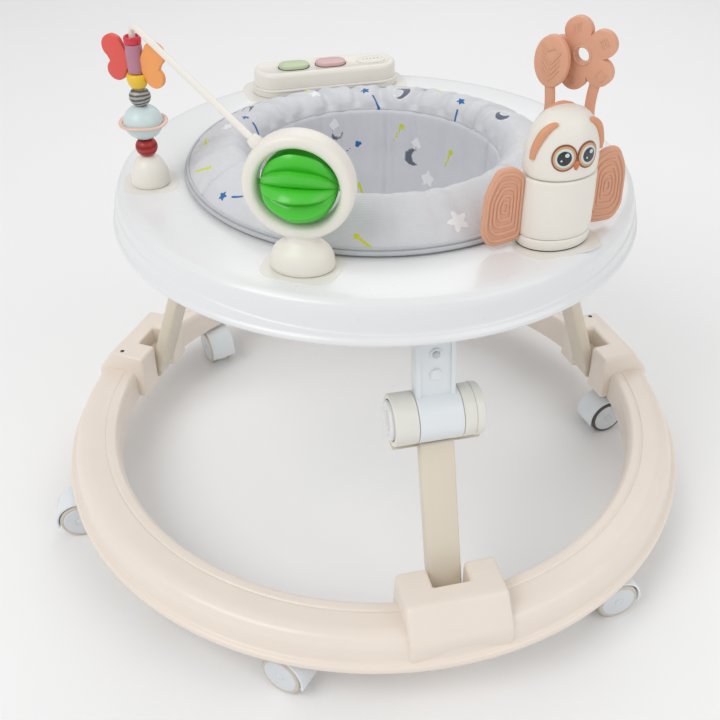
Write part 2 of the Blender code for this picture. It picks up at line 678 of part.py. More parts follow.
def owl_wings():
    near, far, low, high = OWL_R + 0.0042, OWL_R + 0.0395, 0.3850, 0.4560
    corner = 0.020
    outline = (
        [(near, low), (far - corner, low)]
        + arc((far - corner, low + corner), corner, -90, 0, 5)[1:]
        + arc((far - corner, high - corner), corner, 0, 90, 5)
        + [(near, high)]
    )
    for side, turn in (("left", -156.0), ("right", 26.0)):
        wing = rounded(plate(outline, 0.0055), 0.0009)
        finish(wing, f"owl_wing_{side}", "peach", (*OWL_AT, 0), turn)


def owl_teethers():
    """A flower and a leaf of silicone, each on a strap that hugs the back of the head."""
    petals, middle = 5, (0.0140, 0.5290)
    flower = []
    for i in range(40):
        angle = 2 * pi * i / 40
        radius = 0.0185 + 0.0120 * abs(cos(angle * petals / 2)) ** 0.7
        flower.append((middle[0] + radius * cos(angle), middle[1] + radius * sin(angle)))
    teether = joined(plate(flower, 0.0070), box((0.0110, 0.0055, 0.0510), (0, 0, 0.4895)))
    teether = cut(teether, cross_bar(0.0066, (-0.02, 0.02), middle, 14))
    place = Vector((*OWL_AT, 0)) + polar(*FLOWER_STRAP)
    finish(teether, "teether_flower", "peach", place, PADDLE_AZ + 90.0)
    leaf = [(0.0150 * cos(a), 0.0215 * sin(a)) for a in (2 * pi * i / 20 for i in range(20))]
    disc = moved(plate(leaf, 0.0070), Matrix.Translation((0, 0, 0.5240)))
    teether = joined(disc, box((0.0110, 0.0055, 0.0440), (0, 0, 0.4860)))
    place = Vector((*OWL_AT, 0)) + polar(*LEAF_STRAP)
    finish(teether, "teether_leaf", "peach", place, PADDLE_AZ + 90.0)


def build():
    base_ring()
    for side, azimuth in LEG_AZIMUTHS.items():
        base_pin(side, azimuth)
        lower_arm(side, azimuth)
        upper_arm(side, azimuth)
        knee_button(side, azimuth)
        tray_bracket(side, azimuth)
    for tag, (azimuth, heading) in CASTERS.items():
        caster_fork(tag, azimuth, heading)
        caster_wheels(tag, azimuth, heading)
    tray()
    seat_hoop()
    seat_collar()
    seat_sling()
    music_box()
    windmill_stand()
    windmill_ball()
    bead_tower()
    owl()


build()
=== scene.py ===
"""Looks of a round baby walker: base ring on casters, folding legs, play tray with toys, hung seat."""

import json
from math import atan2, cos, hypot, pi, radians, sin

import bmesh
import bpy
import numpy as np
from mathutils import Matrix, Vector, noise


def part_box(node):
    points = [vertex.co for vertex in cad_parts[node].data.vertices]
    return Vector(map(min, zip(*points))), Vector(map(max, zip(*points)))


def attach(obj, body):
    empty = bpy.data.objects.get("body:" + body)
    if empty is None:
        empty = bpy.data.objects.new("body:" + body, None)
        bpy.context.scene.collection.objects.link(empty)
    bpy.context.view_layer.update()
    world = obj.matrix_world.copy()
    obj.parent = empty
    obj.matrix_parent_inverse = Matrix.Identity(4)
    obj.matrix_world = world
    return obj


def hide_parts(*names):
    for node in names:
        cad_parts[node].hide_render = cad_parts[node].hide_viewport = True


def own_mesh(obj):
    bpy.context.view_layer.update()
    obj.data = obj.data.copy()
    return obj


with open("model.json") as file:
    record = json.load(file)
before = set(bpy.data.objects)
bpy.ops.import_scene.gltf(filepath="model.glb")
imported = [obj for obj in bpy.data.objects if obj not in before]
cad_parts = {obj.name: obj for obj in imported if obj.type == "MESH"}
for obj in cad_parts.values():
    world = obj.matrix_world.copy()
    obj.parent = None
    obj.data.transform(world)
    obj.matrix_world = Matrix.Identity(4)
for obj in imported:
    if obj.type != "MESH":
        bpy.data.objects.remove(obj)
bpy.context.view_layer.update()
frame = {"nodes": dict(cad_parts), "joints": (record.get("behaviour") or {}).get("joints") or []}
JOINTS = {joint["name"]: joint for joint in frame["joints"]}


# ---------------------------------------------------------------- places taken from the frame
def middle(node):
    low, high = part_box(node)
    return (low + high) / 2


def pivot(joint):
    return Vector(JOINTS[joint]["pos_m"])


def heading_of(vector):
    """The turn about Z that brings +X onto this direction."""
    return Matrix.Rotation(atan2(vector[1], vector[0]), 4, "Z")


def polar(degrees, radius, height=0.0):
    return Vector((radius * cos(radians(degrees)), radius * sin(radians(degrees)), height))


TRAY_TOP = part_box("tray_shell")[1].z
TRAY_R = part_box("tray_shell")[1].x
RING_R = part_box("base_ring")[1].x
RING_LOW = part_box("base_ring")[0].z
BOSS_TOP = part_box("base_ring")[1].z
TOY_FLOOR = TRAY_TOP + 0.0003
OWL_TURN = Matrix.Rotation(radians(-67.0), 4, "Z")     # the way the owl's broad front faces
LEGS = ("front", "right", "left")
CASTERS = "abcdefg"
# this caster's treads get a darker copy of the tread colour: painted shade
SHADED_CASTER = "e"


# ---------------------------------------------------------------- finishes
def value_group(name, inputs, outputs):
    """A node group with named inputs (name, default) and outputs (name, socket kind)."""
    group = bpy.data.node_groups.new(name, "ShaderNodeTree")
    for label, default in inputs:
        socket = group.interface.new_socket(label, in_out="INPUT", socket_type="NodeSocketFloat")
        socket.default_value = default
    for label, kind in outputs:
        group.interface.new_socket(label, in_out="OUTPUT", socket_type=kind)
    nodes = group.nodes
    return group, nodes, group.links, nodes.new("NodeGroupInput"), nodes.new("NodeGroupOutput")


def added(nodes, kind, **inputs):
    """A new shader node, with these of its inputs set."""
    made = nodes.new(kind)
    return set_inputs(made, **inputs)


def set_inputs(node, **inputs):
    """Set a node's inputs by name, an underscore standing for a space."""
    for label, value in inputs.items():
        node.inputs[label.replace("_", " ")].default_value = value
    return node


def worked_out(nodes, links, operation, *terms):
    """The result of a sum on sockets and plain numbers."""
    made = nodes.new("ShaderNodeMath")
    made.operation = operation
    for socket, term in zip(made.inputs, terms):
        if isinstance(term, float):
            socket.default_value = term
        else:
            links.new(term, socket)
    return made.outputs[0]


def moulding_group():
    """Fine orange peel, faint flow mottling and a little dust for moulded plastic."""
    group, nodes, links, given, out = value_group(
        "moulded_surface",
        [("Peel Scale", 900.0), ("Peel Depth", 0.04), ("Roughness", 0.35), ("Mottle", 0.06)],
        [("Tone", "NodeSocketFloat"), ("Roughness", "NodeSocketFloat"), ("Normal", "NodeSocketVector")],
    )
    place = nodes.new("ShaderNodeTexCoord")
    peel = added(nodes, "ShaderNodeTexNoise", Detail=3.0)
    flow = added(nodes, "ShaderNodeTexNoise", Scale=26.0, Detail=5.0)
    specks = added(nodes, "ShaderNodeTexNoise", Scale=340.0, Detail=2.0)
    bump = added(nodes, "ShaderNodeBump", Distance=0.0006)
    for texture in (peel, flow, specks):
        links.new(place.outputs["Object"], texture.inputs["Vector"])
    links.new(given.outputs["Peel Scale"], peel.inputs["Scale"])
    links.new(given.outputs["Peel Depth"], bump.inputs["Strength"])
    links.new(peel.outputs["Fac"], bump.inputs["Height"])
    tone = worked_out(nodes, links, "MULTIPLY_ADD", flow.outputs["Fac"], given.outputs["Mottle"], 0.0)
    rough = worked_out(
        nodes, links, "MULTIPLY_ADD", specks.outputs["Fac"], 0.12, given.outputs["Roughness"]
    )
    links.new(tone, out.inputs["Tone"])
    links.new(rough, out.inputs["Roughness"])
    links.new(bump.outputs["Normal"], out.inputs["Normal"])
    return group


def weave_group():
    """Crossed threads with slubs: a height and a shade for woven cloth."""
    group, nodes, links, given, out = value_group(
        "woven_threads",
        [("Thread Scale", 420.0), ("Depth", 0.5)],
        [("Shade", "NodeSocketFloat"), ("Normal", "NodeSocketVector")],
    )
    place = nodes.new("ShaderNodeTexCoord")
    threads = []
    for axis in ("X", "Y", "Z"):
        wave = added(nodes, "ShaderNodeTexWave", Distortion=0.6, Detail=1.0)
        wave.bands_direction = axis
        links.new(place.outputs["Object"], wave.inputs["Vector"])
        links.new(given.outputs["Thread Scale"], wave.inputs["Scale"])
        threads.append(wave.outputs["Fac"])
    cross = worked_out(nodes, links, "MAXIMUM", threads[0], threads[1])
    weave = worked_out(nodes, links, "MULTIPLY", cross, threads[2])
    slub = added(nodes, "ShaderNodeTexNoise", Scale=60.0, Detail=6.0)
    links.new(place.outputs["Object"], slub.inputs["Vector"])
    shade = worked_out(nodes, links, "MULTIPLY_ADD", weave, 0.35, slub.outputs["Fac"])
    bump = added(nodes, "ShaderNodeBump", Distance=0.0005)
    links.new(given.outputs["Depth"], bump.inputs["Strength"])
    links.new(weave, bump.inputs["Height"])
    links.new(shade, out.inputs["Shade"])
    links.new(bump.outputs["Normal"], out.inputs["Normal"])
    return group


def linear(colour):
    """An sRGB colour of 0 to 255 as linear values with alpha."""
    channels = [c / 255.0 for c in colour]
    return (*[c / 12.92 if c <= 0.04045 else ((c + 0.055) / 1.055) ** 2.4 for c in channels], 1.0)


MOULDED = moulding_group()
WOVEN = weave_group()


def new_material(name):
    made = bpy.data.materials.new(name)
    made.use_nodes = True
    tree = made.node_tree
    return made, tree.nodes, tree.links, tree.nodes["Principled BSDF"]


def colour_mix(nodes, links, factor, first, second):
    mix = nodes.new("ShaderNodeMix")
    mix.data_type = "RGBA"
    links.new(factor, mix.inputs["Factor"])
    for socket, given in ((mix.inputs["A"], first), (mix.inputs["B"], second)):
        if isinstance(given, tuple):
            socket.default_value = given
        else:
            links.new(given, socket)
    return mix.outputs["Result"]


def skinned(name, group, colour, factor, depth, **inputs):
    """A material whose colour drifts darker by a group's output, over the group's own bumps."""
    made, nodes, links, shader = new_material(name)
    skin = nodes.new("ShaderNodeGroup")
    skin.node_tree = group
    set_inputs(skin, **inputs)
    base = linear(colour)
    darker = (*[c * depth for c in base[:3]], 1.0)
    ends = (base, darker) if group is MOULDED else (darker, base)
    ground = colour_mix(nodes, links, skin.outputs[factor], *ends)
    links.new(ground, shader.inputs["Base Color"])
    links.new(skin.outputs["Normal"], shader.inputs["Normal"])
    if group is MOULDED:
        links.new(skin.outputs["Roughness"], shader.inputs["Roughness"])
    return made, shader


def plastic(name, colour, rough=0.3, coat=0.25, peel=0.035, depth=0.9, soft=0.0):
    """Moulded plastic: its colour drifts slightly darker, over a fine peel."""
    made, shader = skinned(
        name, MOULDED, colour, "Tone", depth, Roughness=rough, Peel_Depth=peel, Mottle=1.0
    )
    set_inputs(shader, Coat_Weight=coat, Coat_Roughness=0.12, Subsurface_Weight=soft,
                 Subsurface_Radius=(0.004, 0.003, 0.002), Subsurface_Scale=1.0)
    return made


def marbled(name, light, dark, scale):
    """Swirled bands of two plastics."""
    made, nodes, links, shader = new_material(name)
    place = nodes.new("ShaderNodeTexCoord")
    wave = added(nodes, "ShaderNodeTexWave", Scale=scale, Distortion=5.0, Detail=3.0)
    wave.bands_direction = "Z"
    links.new(place.outputs["Object"], wave.inputs["Vector"])
    mixed = colour_mix(nodes, links, wave.outputs["Fac"], linear(dark), linear(light))
    links.new(mixed, shader.inputs["Base Color"])
    skin = nodes.new("ShaderNodeGroup")
    skin.node_tree = MOULDED
    links.new(skin.outputs["Normal"], shader.inputs["Normal"])
    set_inputs(shader, Roughness=0.38)
    return made


def metal(name, colour, rough):
    made, shader = skinned(name, MOULDED, colour, "Tone", 0.7, Roughness=rough)
    set_inputs(shader, Metallic=1.0)
    return made


def cloth(name, colour, shade, printed=False):
    """Woven cloth with a soft sheen; a printed one reads its motifs from the piece's attributes."""
    made, shader = skinned(name, WOVEN, colour, "Shade", shade)
    if printed:
        nodes, links = made.node_tree.nodes, made.node_tree.links
        ground = shader.inputs["Base Color"].links[0].from_socket
        ink, edge = (nodes.new("ShaderNodeAttribute") for _ in range(2))
        ink.attribute_name, edge.attribute_name = "motif_ink", "motif_edge"
        sharp = added(nodes, "ShaderNodeMapRange", From_Min=0.18, From_Max=-0.18)
        links.new(edge.outputs["Fac"], sharp.inputs["Value"])
        inked = colour_mix(nodes, links, sharp.outputs["Result"], ground, ink.outputs["Color"])
        links.new(inked, shader.inputs["Base Color"])
    set_inputs(shader, Roughness=0.86, Sheen_Weight=0.35, Sheen_Roughness=0.4)
    return made


CREAM = plastic("cream_moulding", (242, 230, 218), rough=0.30, depth=0.96, soft=0.05)
ARM_CREAM = plastic("arm_cream", (226, 216, 198), rough=0.34, depth=0.95)
WHITE = plastic("white_moulding", (232, 233, 234), rough=0.24, coat=0.4, peel=0.008, depth=0.985)
COOL_WHITE = plastic("arm_white", (232, 237, 240), rough=0.28, depth=0.97)
CAP_WHITE = plastic("cap_white", (233, 232, 224), rough=0.32, depth=0.96)
WARM_WHITE = plastic("toy_white", (236, 232, 223), rough=0.36, coat=0.15, depth=0.97, soft=0.08)
PLATE_WHITE = plastic("plate_white", (229, 227, 220), rough=0.34, depth=0.97)
TREAD = plastic("wheel_tread", (214, 205, 192), rough=0.55, coat=0.0, peel=0.08)
# darker copy of the tread colour for the caster that sits in shadow: painted shade
SHADED_TREAD = plastic("tread_in_painted_shade", (98, 86, 84), rough=0.55, coat=0.0, peel=0.08)
DISC_WHITE = plastic("wheel_disc", (222, 226, 230), rough=0.30, depth=0.96)
# flat dark colour laid in the screw holes, the button wells, the grille's holes and under the owl's foot:
# painted shade
SHADOW = plastic("painted_shade_dark", (58, 56, 55), rough=0.6, coat=0.0)
GREEN = plastic("leaf_green", (70, 204, 46), rough=0.28, coat=0.35, depth=0.85, soft=0.1)
SAGE = plastic("sage_button", (190, 207, 166), rough=0.36)
PINK = plastic("pink_button", (216, 176, 176), rough=0.36)
PEACH = plastic("peach_silicone", (225, 168, 138), rough=0.50, coat=0.0, peel=0.05, soft=0.15)
PEACH_EAR = plastic("peach_ear", (222, 160, 122), rough=0.45, coat=0.0, soft=0.1)
CORAL = plastic("coral_wing", (228, 88, 78), rough=0.42, soft=0.1)
ORANGE = plastic("orange_wing", (246, 164, 92), rough=0.42, soft=0.1)
MAUVE = plastic("mauve_body", (186, 128, 148), rough=0.42)
YELLOW = plastic("yellow_cup", (242, 200, 48), rough=0.40)
PALE_BLUE = plastic("planet_blue", (208, 226, 226), rough=0.36)
SALMON = plastic("ring_salmon", (236, 200, 184), rough=0.42)
RED = plastic("cap_red", (216, 44, 62), rough=0.36)
MARBLE = marbled("grey_marble", (176, 176, 172), (70, 70, 72), 90.0)
GARNET = marbled("garnet_marble", (186, 46, 42), (128, 20, 24), 60.0)
STEEL = metal("pin_steel", (196, 198, 200), 0.28)
SEAT_CLOTH = cloth("seat_cloth", (222, 223, 227), shade=0.9, printed=True)
LINING = cloth("seat_lining", (224, 225, 230), shade=0.9, printed=True)
PIPING = cloth("piping", (202, 205, 209), shade=0.85)
EYE_RIM = plastic("eye_rim", (132, 74, 44), rough=0.3)
EYE_GOLD = plastic("eye_gold", (214, 160, 110), rough=0.3)
EYE_PALE = plastic("eye_pale", (206, 222, 224), rough=0.25)
EYE_BLACK = plastic("eye_black", (18, 18, 22), rough=0.12, coat=0.8)
BEAK = plastic("beak", (206, 118, 72), rough=0.35)


# ---------------------------------------------------------------- shaping helpers
def softened(points, radius, steps=4, closed=False):
    """Round each corner of a line of 2-D points by arcs of this radius, where there is room."""
    count = len(points)
    made = []
    for i, point in enumerate(points):
        if not closed and i in (0, count - 1):
            made.append(Vector(point))
            continue
        here = Vector(point)
        before = Vector(points[i - 1]) - here
        after = Vector(points[(i + 1) % count]) - here
        reach = min(radius, before.length * 0.45, after.length * 0.45)
        start = here + before.normalized() * reach
        end = here + after.normalized() * reach
        for k in range(steps + 1):
            t = k / steps
            made.append(start * (1 - t) ** 2 + here * 2 * t * (1 - t) + end * t * t)
    return made


def spun(profile, steps=96, closed=False):
    """Turn a profile of (radius, height) about Z into a mesh whose faces point out."""
    bm = bmesh.new()
    verts = [bm.verts.new((max(p[0], 0.0), 0.0, p[1])) for p in profile]
    edges = [bm.edges.new(pair) for pair in zip(verts, verts[1:])]
    if closed:
        edges.append(bm.edges.new((verts[-1], verts[0])))
    bmesh.ops.spin(
        bm, geom=verts + edges, cent=(0, 0, 0), axis=(0, 0, 1), angle=2 * pi, steps=steps,
        use_merge=True,
    )
    bmesh.ops.remove_doubles(bm, verts=bm.verts, dist=1e-6)
    bmesh.ops.recalc_face_normals(bm, faces=bm.faces)
    return bm


def slab(outline, low, high, edge=0.0, segments=3, only_top=False):
    """A plate over an outline in the XY plane, between two heights, with rounded edges."""
    bm = bmesh.new()
    face = bm.faces.new([bm.verts.new((p[0], p[1], low)) for p in outline])
    raised = bmesh.ops.extrude_face_region(bm, geom=[face])["geom"]
    lifted = [g for g in raised if isinstance(g, bmesh.types.BMVert)]
    bmesh.ops.translate(bm, vec=(0, 0, high - low), verts=lifted)
    bmesh.ops.recalc_face_normals(bm, faces=bm.faces)
    if edge:
        heights = (high,) if only_top else (low, high)
        rim = [
            e for e in bm.edges
            if any(abs(e.verts[0].co.z - h) < 1e-6 and abs(e.verts[1].co.z - h) < 1e-6 for h in heights)
        ]
        bevel(bm, rim, edge, segments)
    return bm


def bevel(bm, edges, width, segments=3):
    bmesh.ops.bevel(
        bm, geom=edges, offset=width, offset_type="OFFSET", segments=segments, profile=0.5,
        affect="EDGES", material=-1, clamp_overlap=True,
    )


def sharp_edges(bm):
    return [e for e in bm.edges if len(e.link_faces) == 2 and e.calc_face_angle(0.0) > radians(30.0)]


def block(size, centre, edge=0.002, segments=3):
    bm = bmesh.new()
    bmesh.ops.create_cube(bm, size=1.0)
    bmesh.ops.scale(bm, vec=size, verts=bm.verts)
    bevel(bm, list(bm.edges), edge, segments)
    bmesh.ops.translate(bm, vec=centre, verts=bm.verts)
    return bm


def ellipse(across, up, steps):
    return [(across * cos(2 * pi * i / steps), up * sin(2 * pi * i / steps)) for i in range(steps)]


def stadium(length, width, steps=18):
    """Outline with half-round ends, long on Y."""
    half, reach = width / 2, (length - width) / 2
    turn = [radians(180.0 * i / (steps - 1)) for i in range(steps)]
    ends = [(half * cos(a), reach + half * sin(a)) for a in turn]
    return ends + [(-x, -y) for x, y in ends]


def turned_mesh(bm, matrix):
    bmesh.ops.transform(bm, matrix=matrix, verts=bm.verts)
    return bm


def lathe(profile, steps, soft, soft_steps=4, closed=False, along=None):
    """Turn a profile with softened corners about Z, or about another axis by a turn."""
    bm = spun(softened(profile, soft, soft_steps, closed), steps, closed)
    return turned_mesh(bm, along) if along else bm


def shift(x=0.0, y=0.0, z=0.0):
    return Matrix.Translation((x, y, z))


def oval_section(radius, height, wide, tall, steps):
    """The section of a hoop, for a closed turn about Z."""
    around = np.linspace(2 * pi, 0, steps + 1)[:-1]
    return [(radius + wide * cos(a), height + tall * sin(a)) for a in around]


def merged(*parts):
    """Several shapes as one, each part either a mesh or (mesh, material index)."""
    whole = bmesh.new()
    for part in parts:
        bm, index = part if isinstance(part, tuple) else (part, 0)
        for face in bm.faces:
            face.material_index = index
        mesh = bpy.data.meshes.new("part")
        bm.to_mesh(mesh)
        bm.free()
        whole.from_mesh(mesh)
        bpy.data.meshes.remove(mesh)
    return whole


def piece(bm, name, finishes, body, nodes=(), place=None, sharp=38.0):
    """Make the mesh an object that rides on a body and stands for the CAD nodes given."""
    if place is not None:
        bmesh.ops.transform(bm, matrix=place, verts=bm.verts)
    mesh = bpy.data.meshes.new(name)
    bm.to_mesh(mesh)
    bm.free()
    for finish in finishes if isinstance(finishes, (list, tuple)) else [finishes]:
        mesh.materials.append(finish)
    mesh.shade_smooth()
    mesh.set_sharp_from_angle(angle=radians(sharp))
    obj = bpy.data.objects.new(name, mesh)
    bpy.context.scene.collection.objects.link(obj)
    if nodes:
        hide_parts(*nodes)
    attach(obj, body)
    return obj


def repaint(finish, *nodes):
    for node in nodes:
        obj = frame["nodes"][node]
        obj.data.materials.clear()
        obj.data.materials.append(finish)


ALONG_Y = Matrix.Rotation(-pi / 2, 4, "X")
UPRIGHT = Matrix.Rotation(pi / 2, 4, "X")
ALONG_X = Matrix.Rotation(pi / 2, 4, "Y")


# ---------------------------------------------------------------- base ring
def base_ring_piece():
    """Shell with a fine groove on its crown and a stepped lip, and three bosses for the legs."""
    profile = [
        (0.2885, 0.0840), (0.2968, 0.0841), (0.2978, 0.0833), (0.2990, 0.0833), (0.3000, 0.0842),
        (0.3180, 0.0838), (0.3262, 0.0812), (0.3315, 0.0735), (0.3338, 0.0600), (0.3352, 0.0580),
        (RING_R - 0.0004, 0.0574), (RING_R, RING_LOW), (0.3300, RING_LOW), (0.3275, 0.0730),
        (0.3190, 0.0805), (0.2890, 0.0805), (0.2880, RING_LOW), (0.2840, RING_LOW), (0.2850, 0.0785),
    ]
    parts = [lathe(profile, 200, 0.0030, closed=True)]
    for leg in LEGS:
        turn = heading_of(pivot(f"{leg}_leg_fold"))
        parts.append(turned_mesh(boss(), turn))
        if leg != "front":
            # the screw hole is a dark plug in the boss's top: painted shade
            parts.append((turned_mesh(screw_hole(), turn), 1))
    for tag in CASTERS:
        stem = pivot(f"caster_{tag}_swivel")
        tower = lathe([(0.0061, RING_LOW), (0.0122, RING_LOW), (0.0126, 0.080)], 32, 0.0008)
        parts.append(turned_mesh(tower, shift(stem.x, stem.y)))
    piece(merged(*parts), "base_ring_shell", [CREAM, SHADOW], "base", ["base_ring"])


def boss():
    """A raised block with a pocket for the arm, its outer side sloping down to the ring."""
    half, slot, inner, pocket, outer = 0.0498, 0.0174, 0.2702, 0.2925, 0.3325
    brow, foot_height, foot_reach = 0.3130, 0.0790, 0.0190
    plan = [
        (inner, -half), (outer, -half), (outer, half), (inner, half),
        (inner, slot), (pocket, slot), (pocket, -slot), (inner, -slot),
    ]
    bm = slab(plan, 0.0503, BOSS_TOP)
    result = bmesh.ops.bisect_plane(
        bm, geom=bm.verts[:] + bm.edges[:] + bm.faces[:], plane_co=(brow, 0.0, BOSS_TOP),
        plane_no=Vector((BOSS_TOP - foot_height, 0.0, foot_reach)).normalized(), clear_outer=True,
    )
    cut = [g for g in result["geom_cut"] if isinstance(g, bmesh.types.BMEdge)]
    bmesh.ops.holes_fill(bm, edges=cut, sides=0)
    bmesh.ops.recalc_face_normals(bm, faces=bm.faces)
    for vert in bm.verts:
        if vert.co.z > 0.07 and abs(vert.co.y) > 0.03:
            vert.co.y *= 0.955
    bevel(bm, sharp_edges(bm), 0.0042, 4)
    return bm


def screw_hole():
    """A small blind hole in the boss's top, beside the arm, filled with a dark plug of painted shade."""
    ring = [(0.0, 0.1061), (0.0024, 0.1061), (0.0024, 0.1030), (0.0, 0.1030)]
    return turned_mesh(spun(ring, 20), shift(0.3010, 0.0400))


# ---------------------------------------------------------------- folding legs
def leg_line(start, end):
    """A bar's run between two pins and its lean, in the leg's own plane."""
    run = Vector((hypot(end.x, end.y) - hypot(start.x, start.y), 0.0, end.z - start.z))
    return run, Matrix.Rotation(atan2(run.x, run.z), 4, "Y")


def upper_joint(leg):
    """The leg's upper pin; the open ones have no joint, so they come from their bracket."""
    if leg == "front":
        return pivot("tray_hinge")
    side = middle(f"tray_bracket_{leg}")
    radius = hypot(pivot("tray_hinge").x, pivot("tray_hinge").y)
    flat = Vector((side.x, side.y, 0.0)).normalized() * radius
    return Vector((flat.x, flat.y, pivot("tray_hinge").z))


def leg_place(joint):
    return Matrix.Translation(pivot(joint)) @ heading_of(pivot(joint))


def band(across, radius, bore, lip=0.0012):
    """A ring about Y with rounded rims, from across[0] to across[1]."""
    low, high = across
    profile = [(bore, high), (radius, high), (radius, low), (bore, low)]
    return lathe(profile, 72, lip, closed=True, along=ALONG_Y)


def lower_arm_piece(leg):
    """Cream bar with a round foot, the yoke under the knee, and the knee's two end bands."""
    run, lean = leg_line(pivot(f"{leg}_leg_fold"), pivot(f"{leg}_knee"))
    hub = Matrix.Translation(run)
    reach = run.length - 0.0245
    bar = turned_mesh(block((0.0140, 0.0318, reach), (0, 0, reach / 2), 0.0026, 4), lean)
    foot = lathe([(0, 0.0158), (0.0088, 0.0158), (0.0088, -0.0158), (0, -0.0158)], 48, 0.0012,
                 along=ALONG_Y)
    arc = [radians(-165.0 + 93.0 * i / 15) for i in range(16)]
    sector = [(0.0, 0.0)] + [(0.0284 * cos(a), 0.0284 * sin(a)) for a in arc]
    half = 0.0410
    yoke = turned_mesh(slab(sector, -half - 0.0008, half - 0.0015, 0.0016), UPRIGHT)
    yoke = turned_mesh(cleared(yoke, 0.0240), hub)
    left = turned_mesh(band((-0.0400, -0.0188), 0.0235, 0.0186), hub)
    left_wall = turned_mesh(band((-0.0355, -0.0190), 0.0190, 0.0060), hub)
    right = turned_mesh(band((0.0218, 0.0330), 0.0235, 0.0060), hub)
    cap = [(0, 0.0420), (0.0205, 0.0420), (0.0236, 0.0402), (0.0240, 0.0336), (0.0228, 0.0330)]
    right_cap = turned_mesh(lathe(cap, 72, 0.0015, along=ALONG_Y), hub)
    axle = turned_mesh(band((-0.0195, 0.0225), 0.0060, 0.0001, 0.0001), hub)
    arm = merged(bar, foot, yoke, (left, 1), (left_wall, 1), (right, 1), (right_cap, 1), axle)
    piece(arm, f"lower_arm_{leg}_bar", [ARM_CREAM, CAP_WHITE], f"lower_arm_{leg}",
          [f"lower_arm_{leg}"], leg_place(f"{leg}_leg_fold"))


def cleared(bm, radius):
    """Push a yoke's inner corner out of the barrel it cradles."""
    for vert in bm.verts:
        flat = Vector((vert.co.x, vert.co.z))
        if flat.length < radius:
            aim = flat.normalized() if flat.length > 0.002 else Vector((-0.62, -0.78))
            vert.co.x, vert.co.z = aim.x * radius, aim.y * radius
    return bm


def upper_arm_piece(leg):
    """White channel bar with a recessed front, two bolts, and the knee's barrel."""
    run, lean = leg_line(pivot(f"{leg}_knee"), upper_joint(leg))
    length = run.length
    bottom, top_gap, bolt_drops = 0.0100, 0.0095, (0.0440, 0.0640)
    reach = length - bottom - top_gap
    bm = bmesh.new()
    bmesh.ops.create_cube(bm, size=1.0)
    bmesh.ops.scale(bm, vec=(0.0158, 0.0364, reach), verts=bm.verts)
    bmesh.ops.translate(bm, vec=(0, 0, bottom + reach / 2), verts=bm.verts)
    bevel(bm, list(bm.edges), 0.0022, 3)
    for front in [f for f in bm.faces if abs(f.normal.x) > 0.99]:
        bmesh.ops.inset_region(bm, faces=[front], thickness=0.0032, depth=0.0)
        bmesh.ops.inset_region(bm, faces=[front], thickness=0.0010, depth=-0.0016)
    bar = turned_mesh(bm, lean)
    bolts = []
    for drop in bolt_drops:
        seat = [(0, 0.0080), (0.0052, 0.0080), (0.0056, 0.0068), (0.0056, 0.0050), (0, 0.0050)]
        bolt = lathe(seat, 36, 0.0006, along=ALONG_X)
        bolts.append(turned_mesh(bolt, lean @ shift(z=length - drop)))
    head = slab(ellipse(0.0036, 0.0036, 6), 0.0080, 0.0092, 0.0004, 2)
    nut = turned_mesh(turned_mesh(head, ALONG_X), lean @ shift(z=length - bolt_drops[0]))
    barrel = [(0.0064, 0.0213), (0.0232, 0.0213), (0.0235, 0.0205), (0.0235, -0.0178), (0.0232, -0.0184),
              (0.0064, -0.0184)]
    knee = lathe(barrel, 96, 0.0006, closed=True, along=ALONG_Y)
    bore = 0.0045 if leg == "front" else 0.0072
    eye_line = [(bore, 0.0182), (0.0114, 0.0182), (0.0114, -0.0182), (bore, -0.0182)]
    top = turned_mesh(lathe(eye_line, 48, 0.0012, closed=True, along=ALONG_Y), Matrix.Translation(run))
    arm = merged(bar, *bolts, (nut, 1), knee, top)
    piece(arm, f"upper_arm_{leg}_bar", [COOL_WHITE, STEEL], f"upper_arm_{leg}",
          [f"upper_arm_{leg}"], leg_place(f"{leg}_knee"))


def knee_button_piece(leg):
    """A dished disc with a raised rim and a plain turning slot."""
    low = -0.0430
    profile = [(0, low + 0.0012), (0.0120, low + 0.0012), (0.0136, low), (0.0170, low),
               (0.0179, low + 0.0012), (0.0179, -0.0391), (0, -0.0391)]
    disc = lathe(profile, 72, 0.0008, along=ALONG_Y)
    slot = block((0.0190, 0.0016, 0.0034), (0, low + 0.0008, 0), 0.0006, 2)
    turn = Matrix.Rotation(radians(62.0), 4, "Y")
    knob = merged(disc, (turned_mesh(slot, turn), 1))
    piece(knob, f"knee_button_{leg}_cap", [WHITE, CAP_WHITE], f"knee_button_{leg}",
          [f"knee_button_{leg}"], leg_place(f"{leg}_knee"))


